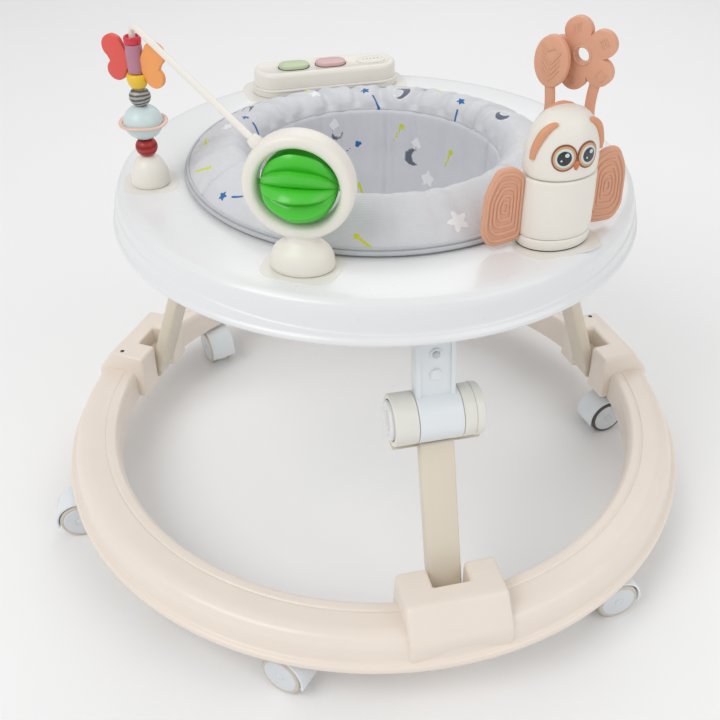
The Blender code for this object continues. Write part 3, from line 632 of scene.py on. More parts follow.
# ---------------------------------------------------------------- casters
def caster_piece(tag):
    """Fork: a web between the wheels, a hood over them, a neck and the stem."""
    stem, axle = pivot(f"caster_{tag}_swivel"), pivot(f"wheels_{tag}_roll")
    ahead = Vector((axle.x - stem.x, axle.y - stem.y, 0.0))
    centre = (ahead.length, axle.z)
    place = shift(stem.x, stem.y) @ heading_of(ahead)
    web = [(-0.0086, 0.0486), (-0.0088, 0.0375), (0.0055, 0.0300), (0.0135, 0.0165), (0.0225, 0.0090)]
    turn = [radians(-60.0 + 155.0 * i / 20) for i in range(21)]
    web += [(centre[0] + 0.0213 * cos(a), centre[1] + 0.0213 * sin(a)) for a in turn]
    web += [(0.0145, 0.0486)]
    inner = turned_mesh(slab(web, -0.0061, 0.0061, 0.0010, 2), UPRIGHT)
    hood_turn = [radians(-14.0 + 158.0 * i / 30) for i in range(31)]
    outer = [(centre[0] + 0.0248 * cos(a), centre[1] + 0.0248 * sin(a)) for a in hood_turn]
    under = [(centre[0] + 0.0223 * cos(a), centre[1] + 0.0223 * sin(a)) for a in reversed(hood_turn)]
    shell = turned_mesh(slab(outer + under, -0.0150, 0.0150, 0.0009, 2), UPRIGHT)
    collar = [(0, 0.0492), (0.0098, 0.0492), (0.0104, 0.0430), (0.0085, 0.0370), (0, 0.0370)]
    neck = lathe(collar, 48, 0.0012)
    rod = spun([(0, 0.0708), (0.0050, 0.0708), (0.0054, 0.0700), (0.0054, 0.0480), (0, 0.0480)], 32)
    fork = merged(inner, shell, neck, (rod, 1))
    piece(fork, f"caster_{tag}_fork", [COOL_WHITE, STEEL], f"caster_{tag}",
          [f"caster_fork_{tag}"], place)
    wheels_piece(tag, Matrix.Translation(axle) @ heading_of(ahead))


def wheels_piece(tag, place):
    """Two treads with pale discs, a raised ring and a centre cap, on a common axle."""
    parts = []
    tread = [(0.0172, 0.0154), (0.0195, 0.0156), (0.0210, 0.0140), (0.0210, 0.0082), (0.0198, 0.0068),
             (0.0150, 0.0068)]
    disc = [(0, 0.0160), (0.0032, 0.0160), (0.0036, 0.0154), (0.0046, 0.0150), (0.0052, 0.0156),
            (0.0168, 0.0158), (0.0176, 0.0150), (0.0176, 0.0120), (0, 0.0120)]
    for side in (1, -1):
        flip = Matrix.Rotation(0.0 if side > 0 else pi, 4, "X")
        rim = lathe(tread, 64, 0.0010, closed=True, along=ALONG_Y)
        face = lathe(disc, 64, 0.0005, along=ALONG_Y)
        parts += [turned_mesh(rim, flip), (turned_mesh(face, flip), 1)]
    axle = turned_mesh(spun([(0, 0.0125), (0.0029, 0.0125), (0.0029, -0.0125), (0, -0.0125)], 24), ALONG_Y)
    # the shaded caster's treads take the darker copy of the tread colour: painted shade
    tyre = SHADED_TREAD if tag == SHADED_CASTER else TREAD
    piece(merged(*parts, (axle, 2)), f"caster_{tag}_wheels", [tyre, DISC_WHITE, STEEL], f"wheels_{tag}",
          [f"caster_wheels_{tag}"], place)


# ---------------------------------------------------------------- tray
def wave_height(angle):
    """Height of the crease that waves round the tray's wall, lowest at the front leg."""
    front = atan2(pivot("tray_hinge").y, pivot("tray_hinge").x)
    return 0.3512 + 0.0135 * sin(angle - front) ** 2


def tray_piece():
    """Rolled shell whose wall steps out below a waving crease, with plates under the toys."""
    knot = 0.3590
    profile = [
        (0.1655, 0.3780), (0.1690, TRAY_TOP), (0.2345, TRAY_TOP), (0.2415, 0.3796), (0.2462, 0.3762),
        (0.2484, 0.3710), (0.2490, 0.3650), (0.2493, knot + 0.0009), (0.2507, knot - 0.0004),
        (0.2513, 0.3520), (0.2518, 0.3488), (0.2540, 0.3470), (TRAY_R, 0.3445), (TRAY_R - 0.0012, 0.3421),
        (0.2508, 0.3421), (0.2468, 0.3600), (0.2390, 0.3755), (0.2270, 0.3778), (0.1715, 0.3778),
        (0.1683, 0.3482), (0.1652, 0.3482),
    ]
    bm = lathe(profile, 256, 0.0016, 3, closed=True)
    low, high = 0.3490, 0.3700
    for vert in bm.verts:
        if hypot(vert.co.x, vert.co.y) > 0.2470 and low < vert.co.z < high:
            crease = wave_height(atan2(vert.co.y, vert.co.x))
            if vert.co.z > knot:
                vert.co.z = high - (high - vert.co.z) * (high - crease) / (high - knot)
            else:
                vert.co.z = low + (vert.co.z - low) * (crease - low) / (knot - low)
    plates = [(toy_plate(node, grow), 1) for node, grow in
              (("music_base", 0.010), ("windmill_stand", 0.006), ("bead_dome", 0.007), ("owl_base", 0.006))]
    piece(merged(bm, *plates), "tray_top_shell", [WHITE, PLATE_WHITE], "tray",
          ["tray_shell"])


def toy_plate(node, grow):
    """A low rounded plate that a toy is clipped to, turned to face outwards."""
    at = pivot("windmill_spin") if node == "windmill_stand" else middle(node)
    turn = OWL_TURN if node == "owl_base" else heading_of(at)
    spans = {"music_base": (0.052, 0.166), "windmill_stand": (0.043, 0.054), "bead_dome": (0.036, 0.036),
             "owl_base": (0.051, 0.066)}
    deep, wide = (span / 2 + grow for span in spans[node])
    corners = [(deep, -wide), (deep, wide), (-deep, wide), (-deep, -wide)]
    outline = softened(corners, min(deep, wide) * 0.8, 10, closed=True)
    plate = slab(outline, TRAY_TOP - 0.0006, TRAY_TOP + 0.00025, 0.0002, 1, only_top=True)
    return turned_mesh(plate, shift(at.x, at.y) @ turn)


# ---------------------------------------------------------------- seat
def applied(obj):
    """Bake an object's modifiers into its mesh."""
    graph = bpy.context.evaluated_depsgraph_get()
    mesh = bpy.data.meshes.new_from_object(obj.evaluated_get(graph))
    obj.modifiers.clear()
    obj.data = mesh
    return obj


def loose_object(bm, name):
    mesh = bpy.data.meshes.new(name)
    bm.to_mesh(mesh)
    bm.free()
    obj = bpy.data.objects.new(name, mesh)
    bpy.context.scene.collection.objects.link(obj)
    return obj


def bored(obj, cutters):
    """Cut each of these solids out of an object, and remove them."""
    for cutter in cutters:
        hole = obj.modifiers.new("hole", "BOOLEAN")
        hole.operation, hole.solver, hole.object = "DIFFERENCE", "EXACT", cutter
    applied(obj)
    for cutter in cutters:
        bpy.data.objects.remove(cutter, do_unlink=True)
    return obj


def bore(radius, depth, segments):
    bm = bmesh.new()
    bmesh.ops.create_cone(bm, cap_ends=True, segments=segments, radius1=radius, radius2=radius, depth=depth)
    return bm


def vertex_values(mesh, name="co"):
    """Each vertex's place, or its normal, as rows."""
    found = np.zeros(len(mesh.vertices) * 3)
    mesh.vertices.foreach_get(name, found)
    return found.reshape(-1, 3)


def puffed(obj, held, pressure, cap):
    """Blow the cloth out between its held seams, and cap how far a point moves."""
    rest = vertex_values(obj.data)
    group = obj.vertex_groups.new(name="held")
    for index, weight in enumerate(held):
        if weight > 0.0:
            group.add([index], float(weight), "REPLACE")
    settings = obj.modifiers.new("cloth", "CLOTH").settings
    settings.quality = 5
    settings.mass = 0.2
    settings.tension_stiffness = 25.0
    settings.compression_stiffness = 8.0
    settings.bending_stiffness = 0.2
    settings.vertex_group_mass = "held"
    settings.use_pressure = True
    settings.uniform_pressure_force = pressure
    settings.effector_weights.gravity = 0.0
    for number in range(1, 17):
        bpy.context.scene.frame_set(number)
    applied(obj)
    bpy.context.scene.frame_set(1)
    moved = vertex_values(obj.data) - rest
    far = np.linalg.norm(moved, axis=1)
    moved *= np.minimum(1.0, cap / np.maximum(far, 1e-9))[:, None]
    obj.data.vertices.foreach_set("co", (rest + moved).ravel())
    return obj


def creased(obj, folds, reach):
    """Press soft creases into the cloth: (azimuth, depth, width, lowest z, highest z, slant)."""
    mesh = obj.data
    co, out = vertex_values(mesh), vertex_values(mesh, "normal")
    turn = np.arctan2(co[:, 1], co[:, 0])
    radius = np.hypot(co[:, 0], co[:, 1])
    press = np.zeros(len(co))
    for azimuth, depth, width, low, high, slant in folds:
        centre = radians(azimuth) + slant * (co[:, 2] - low) / max(high - low, 1e-6)
        away = (turn - centre + pi) % (2 * pi) - pi
        across = away * radius / width
        inside = np.clip((co[:, 2] - low) / reach, 0, 1) * np.clip((high - co[:, 2]) / reach, 0, 1)
        press += depth * inside * (np.exp(-across**2) - 0.45 * np.exp(-((np.abs(across) - 1.9) ** 2)))
    mesh.vertices.foreach_set("co", (co - out * press[:, None]).ravel())
    return obj


def star_edge(u, v, size):
    """Roughly the distance outside a five-armed star, negative inside it."""
    turn, far = np.arctan2(u, v), np.hypot(u, v)
    step = pi / 5
    fold = np.abs((turn + step) % (2 * step) - step) / step
    return far - size * (1.0 - 0.56 * fold)


def bar_edge(u, v, start, end, thick):
    """Distance outside a round-ended bar."""
    along = np.array(end) - np.array(start)
    reach = ((u - start[0]) * along[0] + (v - start[1]) * along[1]) / (along @ along)
    reach = np.clip(reach, 0.0, 1.0)
    return np.hypot(u - start[0] - reach * along[0], v - start[1] - reach * along[1]) - thick


def moon_edge(u, v, size):
    return np.maximum(np.hypot(u, v) - size, size * 0.78 - np.hypot(u - size * 0.52, v - size * 0.12))


def comet_edge(u, v, size):
    tail = bar_edge(u, v, (-size * 1.2, -size * 1.7), (-size * 2.3, -size * 3.6), size * 0.20)
    return np.minimum(star_edge(u, v, size), tail)


def streak_edge(u, v, size):
    tail = bar_edge(u, v, (0, 0), (-size * 1.2, -size * 3.4), size * 0.30)
    return np.minimum(np.hypot(u, v) - size * 0.62, tail)


BLUE, SLATE, LIME, SNOW = (38, 108, 176), (104, 110, 126), (216, 224, 62), (244, 245, 247)
MOTIFS = {
    "blue_comet": ((comet_edge, 0.0052, BLUE),),
    "lime_streak": ((streak_edge, 0.0046, LIME),),
    "white_star": ((star_edge, 0.0105, SNOW),),
    "moon": ((lambda u, v, s: moon_edge(u, v, s) - 0.0013, 0.0085, SNOW), (moon_edge, 0.0085, SLATE)),
}


def printed(obj, prints):
    """Lay motifs on the cloth: (kind, azimuth, radius, height, turn in degrees, scale)."""
    mesh = obj.data
    co, out = vertex_values(mesh), vertex_values(mesh, "normal")
    edge = np.full(len(co), 9.0)
    ink = np.ones((len(co), 4))
    for kind, azimuth, radius, height, turn, scale in prints:
        target = np.array(polar(azimuth, radius, height))
        nearest = int(np.argmin(np.linalg.norm(co - target, axis=1)))
        normal = Vector(out[nearest])
        up = Vector((0, 0, 1)) - normal * normal.z
        up = up.normalized() if up.length > 0.2 else Vector(polar(azimuth, 1.0))
        up = Matrix.Rotation(radians(turn), 3, normal) @ up
        side = up.cross(normal)
        offset = co - co[nearest]
        u, v = offset @ np.array(side), offset @ np.array(up)
        near = (np.abs(offset @ np.array(normal)) < 0.022) & (np.hypot(u, v) < 0.045)
        for shape, size, colour in MOTIFS[kind]:
            found = shape(u, v, size * scale) * 1000.0
            change = near & (found < np.maximum(edge, 0.9)) if kind != "moon" else near & (found < 0.9)
            edge[change] = found[change]
            ink[change] = linear(colour)
            if kind == "moon":
                edge[change & (found < 0)] = -1.0
    mesh.attributes.new("motif_edge", "FLOAT", "POINT").data.foreach_set("value", edge.astype(np.float32))
    store = mesh.attributes.new("motif_ink", "FLOAT_COLOR", "POINT")
    store.data.foreach_set("color", ink.astype(np.float32).ravel())
    return obj


def nearest_turn(value, places):
    """How far an azimuth is from the nearest of these, all in degrees."""
    return min(abs((value - place + 180.0) % 360.0 - 180.0) for place in places)


BACK_AZ = 101.0                   # the way the seat's back faces out
COLLAR_SEAMS = (-150.0, -34.0, 34.0, 168.0)
LINING_SEAMS = (-153.0, -54.0, 20.0, 84.0, 178.0)


def backness(turn):
    """1 at the middle of the seat's back, 0 at its front."""
    return 0.5 + 0.5 * cos(turn - radians(BACK_AZ))


def wander(*where):
    """Smooth noise that is the same on every run."""
    return noise.noise(Vector(where))


def seat_collar_piece():
    """Padded ring: gathered crest, flatter at the back, sewn to the piping and to the lining."""
    low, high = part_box("seat_collar")
    outer, top = high.x, high.z
    loop = [
        (outer, low.z + 0.0004), (outer - 0.0020, low.z + 0.0070), (outer - 0.0095, low.z + 0.0165),
        (outer - 0.0210, low.z + 0.0252), (outer - 0.0330, low.z + 0.0312), (outer - 0.0430, top - 0.0006),
        (outer - 0.0510, low.z + 0.0305), (outer - 0.0570, low.z + 0.0225), (outer - 0.0600, low.z + 0.0120),
        (outer - 0.0610, low.z + 0.0010), (outer - 0.0480, low.z + 0.0001), (outer - 0.0320, low.z),
        (outer - 0.0150, low.z),
    ]
    bm = lathe(loop, 176, 0.008, 2, closed=True)
    for vert in bm.verts:
        lift = (vert.co.z - low.z) / (top - low.z)
        vert.co.z -= 0.0165 * backness(atan2(vert.co.y, vert.co.x)) ** 1.5 * lift
    held = []
    for vert in bm.verts:
        azimuth = atan2(vert.co.y, vert.co.x) * 180.0 / pi
        sewn = nearest_turn(azimuth, COLLAR_SEAMS) < 1.3
        held.append(1.0 if vert.co.z < low.z + 0.0045 or sewn else 0.0)
    obj = puffed(loose_object(bm, "seat_collar_pad"), held, 3.0, 0.0045)
    smooth = obj.modifiers.new("smooth", "SUBSURF")
    smooth.levels = smooth.render_levels = 2
    applied(obj)
    creased(obj, gathers(low.z, top), 0.006)
    printed(obj, COLLAR_PRINTS)
    seat_finish(obj, SEAT_CLOTH, "seat_collar")


def gathers(low, top):
    """Creases that run down from the crest, closer together and deeper at the back."""
    folds = []
    for i in range(27):
        azimuth = -180.0 + i * 13.33 + 7.0 * wander(i * 1.7, 0.3, 0.0)
        back = backness(radians(azimuth))
        depth = (0.0008 + 0.0044 * back**1.5) * (0.5 + 1.2 * abs(wander(i * 2.3, 4.1, 0.0)))
        width = 0.0042 + 0.0040 * abs(wander(i * 0.9, 8.2, 0.0))
        start = low + 0.004 + 0.012 * abs(wander(i * 3.1, 1.2, 0.0)) * (1.5 - back)
        folds.append((azimuth, depth, width, start, top + 0.020, 0.10 * wander(i, 5.5, 0)))
    for seam in COLLAR_SEAMS:
        folds.append((seam, 0.0022, 0.0016, low - 0.005, top + 0.020, 0.0))
    return folds


def seat_finish(obj, finish, node):
    """Cloth of a seat part, which rides on the tray."""
    obj.data.materials.clear()
    obj.data.materials.append(finish)
    obj.data.shade_smooth()
    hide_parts(node)
    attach(obj, "tray")


COLLAR_PRINTS = (
    ("white_star", -66.0, 0.171, 0.403, 8.0, 1.0),
    ("blue_comet", -141.0, 0.173, 0.401, 150.0, 1.0),
    ("lime_streak", -158.0, 0.166, 0.407, -20.0, 1.1),
    ("lime_streak", -178.0, 0.168, 0.405, -40.0, 1.0),
    ("white_star", 172.0, 0.150, 0.418, 30.0, 0.62),
    ("moon", -118.0, 0.165, 0.408, 40.0, 0.9),
    ("blue_comet", 95.0, 0.134, 0.388, -10.0, 1.0),
    ("moon", 78.0, 0.134, 0.390, -25.0, 1.05),
    ("white_star", 118.0, 0.137, 0.392, 12.0, 0.7),
    ("blue_comet", 47.0, 0.130, 0.410, 15.0, 0.95),
    ("moon", 22.0, 0.135, 0.416, 60.0, 0.8),
    ("lime_streak", 63.0, 0.150, 0.420, 20.0, 0.9),
    ("blue_comet", 2.0, 0.168, 0.406, 40.0, 1.0),
    ("lime_streak", -12.0, 0.142, 0.416, -60.0, 1.0),
    ("white_star", -28.0, 0.166, 0.408, 10.0, 0.75),
    ("moon", 148.0, 0.162, 0.412, -70.0, 0.85),
    ("blue_comet", 160.0, 0.138, 0.418, 20.0, 0.9),
    ("white_star", 66.0, 0.174, 0.402, 30.0, 0.8),
    ("lime_streak", 118.0, 0.172, 0.405, 160.0, 1.0),
    ("lime_streak", -95.0, 0.176, 0.398, 75.0, 0.9),
)
LINING_PRINTS = (
    ("lime_streak", 76.0, 0.121, 0.368, -8.0, 1.1),
    ("lime_streak", 48.0, 0.121, 0.352, 0.0, 1.1),
    ("moon", 70.0, 0.121, 0.335, -12.0, 1.15),
    ("white_star", 68.0, 0.121, 0.352, 12.0, 0.7),
    ("blue_comet", 100.0, 0.121, 0.346, -25.0, 0.95),
    ("white_star", 112.0, 0.121, 0.372, 10.0, 0.75),
    ("moon", 110.0, 0.121, 0.360, 70.0, 0.8),
    ("blue_comet", 140.0, 0.121, 0.350, 10.0, 0.95),
    ("lime_streak", 160.0, 0.121, 0.362, 20.0, 1.0),
    ("white_star", -170.0, 0.118, 0.340, 0.0, 0.8),
    ("blue_comet", -130.0, 0.121, 0.362, 30.0, 0.95),
    ("lime_streak", -100.0, 0.121, 0.350, -30.0, 1.0),
    ("moon", -76.0, 0.121, 0.345, 20.0, 0.95),
    ("blue_comet", -46.0, 0.121, 0.360, 10.0, 0.95),
    ("white_star", -20.0, 0.121, 0.350, 0.0, 0.8),
    ("lime_streak", 10.0, 0.121, 0.345, 10.0, 1.0),
    ("white_star", 60.0, 0.150, 0.300, 0.0, 0.9),
    ("blue_comet", -90.0, 0.150, 0.330, 0.0, 1.0),
    ("lime_streak", 150.0, 0.145, 0.320, 0.0, 1.0),
    ("moon", 200.0, 0.140, 0.310, 0.0, 1.0),
    ("white_star", -60.0, 0.140, 0.315, 0.0, 0.9),
    ("blue_comet", 20.0, 0.140, 0.320, 0.0, 1.0),
    ("lime_streak", 100.0, 0.130, 0.290, 0.0, 1.0),
)

LEG_HOLES = (("left", -126.0), ("right", -26.0))
LEG_HOLE_Z, LEG_HOLE_R = 0.262, 0.0425


def seat_sling_piece():
    """Quilted bucket: thick where it hangs from the hoop, thin in the crotch, two leg holes."""
    low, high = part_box("seat_sling")
    top = high.z
    outside = [(0.1560, top), (0.1465, 0.3420), (0.1265, 0.2930), (0.0895, 0.2410), (0.0450, 0.2118),
               (0, low.z)]
    inside = [(0, 0.2100), (0.0420, 0.2165), (0.0820, 0.2440), (0.1080, 0.2900), (0.1185, 0.3350),
              (0.1195, 0.3620), (0.1190, top + 0.0035), (0.1300, top + 0.0030)]
    bm = lathe(outside + inside, 264, 0.018, 5, closed=True)
    for limit in (0.009, 0.0045):
        long = [e for e in bm.edges if e.calc_length() > limit and (e.verts[0].co - e.verts[1].co).z != 0.0]
        bmesh.ops.subdivide_edges(bm, edges=long, cuts=1, use_grid_fill=True)
    cutters = []
    for side, azimuth in LEG_HOLES:
        aim = polar(azimuth, 1.0).to_track_quat("Z", "Y").to_matrix().to_4x4()
        place = Matrix.Translation(polar(azimuth, 0.130, LEG_HOLE_Z)) @ aim
        cutters.append(loose_object(turned_mesh(bore(LEG_HOLE_R, 0.16, 56), place), f"leg_hole_{side}"))
    obj = bored(loose_object(bm, "seat_sling_pad"), cutters)
    quilt = [(seam, 0.0020, 0.0018, 0.225, 0.392, 0.0) for seam in LINING_SEAMS]
    for i in range(22):
        azimuth = -176.0 + i * 16.4 + 4.0 * wander(i * 1.3, 7.7, 0.0)
        depth = 0.0007 + 0.0008 * abs(wander(i * 2.9, 2.2, 0.0))
        quilt.append((azimuth, depth, 0.0045, 0.31, 0.395, 0.12 * wander(i, 1.5, 3.0)))
    creased(obj, quilt, 0.010)
    printed(obj, LINING_PRINTS)
    seat_finish(obj, LINING, "seat_sling")
    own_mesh(obj)
    leg_bindings(top)


def leg_bindings(top):
    """Bound edges sewn round the leg holes, on the bucket's outer wall."""
    crotch, crotch_r, mouth_r, rim_r = 0.205, 0.0450, 0.1560, LEG_HOLE_R + 0.0003
    for side, azimuth in LEG_HOLES:
        rim = []
        for across, up in ellipse(rim_r, rim_r, 64):
            height = LEG_HOLE_Z + up
            level = min(max((height - crotch) / (top - crotch), 0.0), 1.0)
            shell = crotch_r + (mouth_r - crotch_r) * (1.0 - (1.0 - level) ** 2.1) ** 0.72
            out = max(shell**2 - across**2, 0.0009) ** 0.5 - 0.0010
            rim.append(Matrix.Rotation(radians(azimuth), 3, "Z") @ Vector((out, across, height)))
        bm = strand(rim, 0.0030, closed=True, sides=4)
        obj = piece(bm, f"leg_binding_{side}", PIPING, "tray", sharp=80.0)
        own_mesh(obj)


def strand(points, radius, closed=False, sides=6, widths=None):
    """A round strand along points, as a mesh."""
    curve = bpy.data.curves.new("strand", "CURVE")
    curve.dimensions = "3D"
    curve.bevel_depth = radius
    curve.bevel_resolution = sides
    curve.use_fill_caps = not closed
    line = curve.splines.new("POLY")
    line.points.add(len(points) - 1)
    for index, (point, place) in enumerate(zip(line.points, points)):
        point.co = (*place, 1.0)
        point.radius = widths[index] if widths else 1.0
    line.use_cyclic_u = closed
    obj = bpy.data.objects.new("strand", curve)
    bpy.context.scene.collection.objects.link(obj)
    graph = bpy.context.evaluated_depsgraph_get()
    mesh = bpy.data.meshes.new_from_object(obj.evaluated_get(graph))
    bpy.data.objects.remove(obj, do_unlink=True)
    bm = bmesh.new()
    bm.from_mesh(mesh)
    bpy.data.meshes.remove(mesh)
    bmesh.ops.remove_doubles(bm, verts=bm.verts, dist=1e-6)
    bmesh.ops.recalc_face_normals(bm, faces=bm.faces)
    return bm


def piping_piece():
    """Two cords sewn side by side along the collar's lower edge."""
    low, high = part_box("seat_collar")
    cords = ((high.x - 0.0002, low.z + 0.0014, 0.0022), (high.x - 0.0012, low.z + 0.0052, 0.0014))
    rings = [spun(oval_section(radius, height, thick, thick, 12), 180, closed=True)
             for radius, height, thick in cords]
    piece(merged(*rings), "seat_piping", PIPING, "tray", sharp=80.0)


# ---------------------------------------------------------------- music box
def music_box_pieces():
    """Base with a lip, a cover with two button wells and a sound grille, and the two buttons; the wells and
    the grille's holes are dark fills of painted shade.
    """
    at = middle("music_base")
    place = shift(at.x, at.y) @ heading_of(at)
    grille = -0.0530
    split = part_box("music_base")[1].z
    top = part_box("music_cover")[1].z
    foot = slab(stadium(0.1660, 0.0520, 28), TOY_FLOOR, split, 0.0016, 3)
    lip = slab(stadium(0.1672, 0.0532, 28), split - 0.0030, split - 0.0004, 0.0010, 3)
    piece(merged(foot, lip), "music_base_shell", WARM_WHITE, "tray", ["music_base"],
          place)
    cover = slab(stadium(0.1620, 0.0480, 28), split + 0.0003, top, 0.0045, 5, only_top=True)
    roof = max(cover.faces, key=lambda f: f.calc_center_median().z + f.calc_area())
    bmesh.ops.inset_region(cover, faces=[roof], thickness=0.0014, depth=0.0)
    bmesh.ops.inset_region(cover, faces=[roof], thickness=0.0012, depth=-0.0009)
    parts = [cover]
    for name in ("green", "pink"):
        offset = place.inverted() @ middle(f"music_button_{name}")
        # each well is a dark sheet that shows round its button: painted shade
        well = slab(stadium(0.0356, 0.0236, 20), top - 0.0012, top - 0.0004, 0.0)
        parts.append((turned_mesh(well, shift(y=offset.y)), 1))
    oval = slab(stadium(0.0330, 0.0200, 20), top - 0.0014, top + 0.0004, 0.0007, 2)
    inner = slab(stadium(0.0270, 0.0140, 20), top + 0.0002, top + 0.0006, 0.0002, 1)
    parts += [turned_mesh(oval, shift(y=grille)), (turned_mesh(inner, shift(y=grille)), 2)]
    # the grille's holes are dark dots: painted shade
    for row in range(-2, 3):
        dot = spun([(0, top + 0.0008), (0.0007, top + 0.0007), (0.0007, top), (0, top)], 12)
        parts.append((turned_mesh(dot, shift(y=grille + row * 0.0042)), 1))
    piece(merged(*parts), "music_cover_shell", [WARM_WHITE, SHADOW, CAP_WHITE], "tray",
          ["music_cover"], place)
    for name, finish, slot in (("green", SAGE, "sage_plastic"), ("pink", PINK, "pink_plastic")):
        low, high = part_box(f"music_button_{name}")
        centre = middle(f"music_button_{name}")
        cap = slab(stadium(0.0342, 0.0222, 24), low.z, high.z, 0.0016, 4, only_top=True)
        crown = max(cap.faces, key=lambda f: f.calc_center_median().z + f.calc_area())
        bmesh.ops.inset_region(cap, faces=[crown], thickness=0.0030, depth=0.0004)
        bmesh.ops.inset_region(cap, faces=[crown], thickness=0.0030, depth=0.0002)
        piece(cap, f"music_button_{name}_cap", finish, f"music_button_{name}",
              [f"music_button_{name}"], shift(centre.x, centre.y) @ heading_of(at))


# ---------------------------------------------------------------- windmill toy
def facing(joint):
    """The frame of a toy whose ball turns about this joint: +X is its face, +Y the axle."""
    axis = JOINTS[joint]["axis"]
    at = pivot(joint)
    return shift(at.x, at.y) @ heading_of((axis[1], -axis[0]))


ROD_SLANT = radians(45.0)         # the rod's socket points this far above the windmill's axle


def windmill_pieces():
    """Ring on a foot with the rod's socket, and the ball of vanes on its axle."""
    place, height = facing("windmill_spin"), pivot("windmill_spin").z
    turn = np.linspace(0, 2 * pi, 41)[:-1]
    fat, deep = 0.0060, 0.0112
    section = []
    for a in turn[::-1]:
        bulge = (abs(cos(a)) ** 3.0 + abs(sin(a)) ** 3.0) ** (-1.0 / 3.0)
        section.append((0.0385 + fat * bulge * cos(a), deep * bulge * sin(a)))
    ring = turned_mesh(turned_mesh(spun(section, 128, closed=True), ALONG_X), shift(z=height))
    foot = [(0, 0.4150), (0.0150, 0.4150), (0.0124, 0.4090), (0.0130, 0.4052), (0.0180, 0.4018),
            (0.0232, 0.3975), (0.0262, 0.3910), (0.0269, 0.3840), (0.0263, TOY_FLOOR + 0.0004),
            (0, TOY_FLOOR)]
    base = lathe(foot, 96, 0.006, 5, along=Matrix.Diagonal((0.80, 1.0, 1.0, 1.0)))
    out = Vector((0.0, -cos(ROD_SLANT), sin(ROD_SLANT)))
    socket = lathe([(0, 0.0100), (0.0044, 0.0100), (0.0056, 0.0060), (0.0062, 0), (0, 0)], 40, 0.0012)
    aim = out.to_track_quat("Z", "Y").to_matrix().to_4x4()
    aim = Matrix.Translation(Vector((0, 0, height)) + out * 0.0415) @ aim
    stand = merged(ring, base, turned_mesh(socket, aim))
    piece(stand, "windmill_stand_shell", WARM_WHITE, "tray", ["windmill_stand"], place,
          sharp=50.0)
    ball = bmesh.new()
    vanes, per_vane = 10, 14
    bmesh.ops.create_uvsphere(ball, u_segments=vanes * per_vane, v_segments=36, radius=0.0305)
    for vert in ball.verts:
        flat = hypot(vert.co.x, vert.co.y)
        if flat > 1e-5:
            share = (atan2(vert.co.y, vert.co.x) / (2 * pi) * vanes + 0.002) % 1.0
            blade = 1.0 - 0.34 * (1.0 - abs(2.0 * share - 1.0) ** 0.7)
            ripple = 1.0 + 0.012 * sin(vert.co.z * 260.0)
            vert.co.x *= blade * ripple
            vert.co.y *= blade * ripple
    turned_mesh(ball, UPRIGHT)
    axle = turned_mesh(spun([(0, 0.0362), (0.0024, 0.0362), (0.0024, -0.0362), (0, -0.0362)], 24), ALONG_Y)
    piece(merged(ball, axle), "windmill_vanes", GREEN, "windmill_ball", ["windmill_ball"],
          place @ shift(z=height), sharp=60.0)


# ---------------------------------------------------------------- bead toy
def bead_rod_points():
    """Up from the dome, over a bend, and down to the windmill's socket."""
    at, mill = pivot("bead_cup_spin"), pivot("windmill_spin")
    low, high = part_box("bead_rod")
    axle = Vector(JOINTS["windmill_spin"]["axis"])
    out = -axle * cos(ROD_SLANT) + Vector((0, 0, sin(ROD_SLANT)))
    mouth = mill + out * 0.0480
    peak = Vector((at.x, at.y, high.z - 0.0012))
    side = (mouth - peak).normalized()
    bend = [
        peak + Vector((0, 0, -0.0115)) * (1 - i / 12) ** 2 + side * 0.0125 * (i / 12) ** 2 for i in range(13)
    ]
    end = mouth - (mouth - bend[-1]).normalized() * 0.0015
    return [Vector((at.x, at.y, low.z + 0.001)), *bend, end]


def bead(name, profile, finish, body, height):
    at = pivot("bead_cup_spin")
    piece(spun(profile, 64), f"{name}_shell", finish, body, [name], shift(at.x, at.y, height),
          sharp=50.0)


def globe(radius, squash):
    """The outside of a squashed ball from pole to pole."""
    turns = [pi * i / 30 for i in range(31)]
    return [(radius * sin(a), radius * squash * cos(a)) for a in turns]


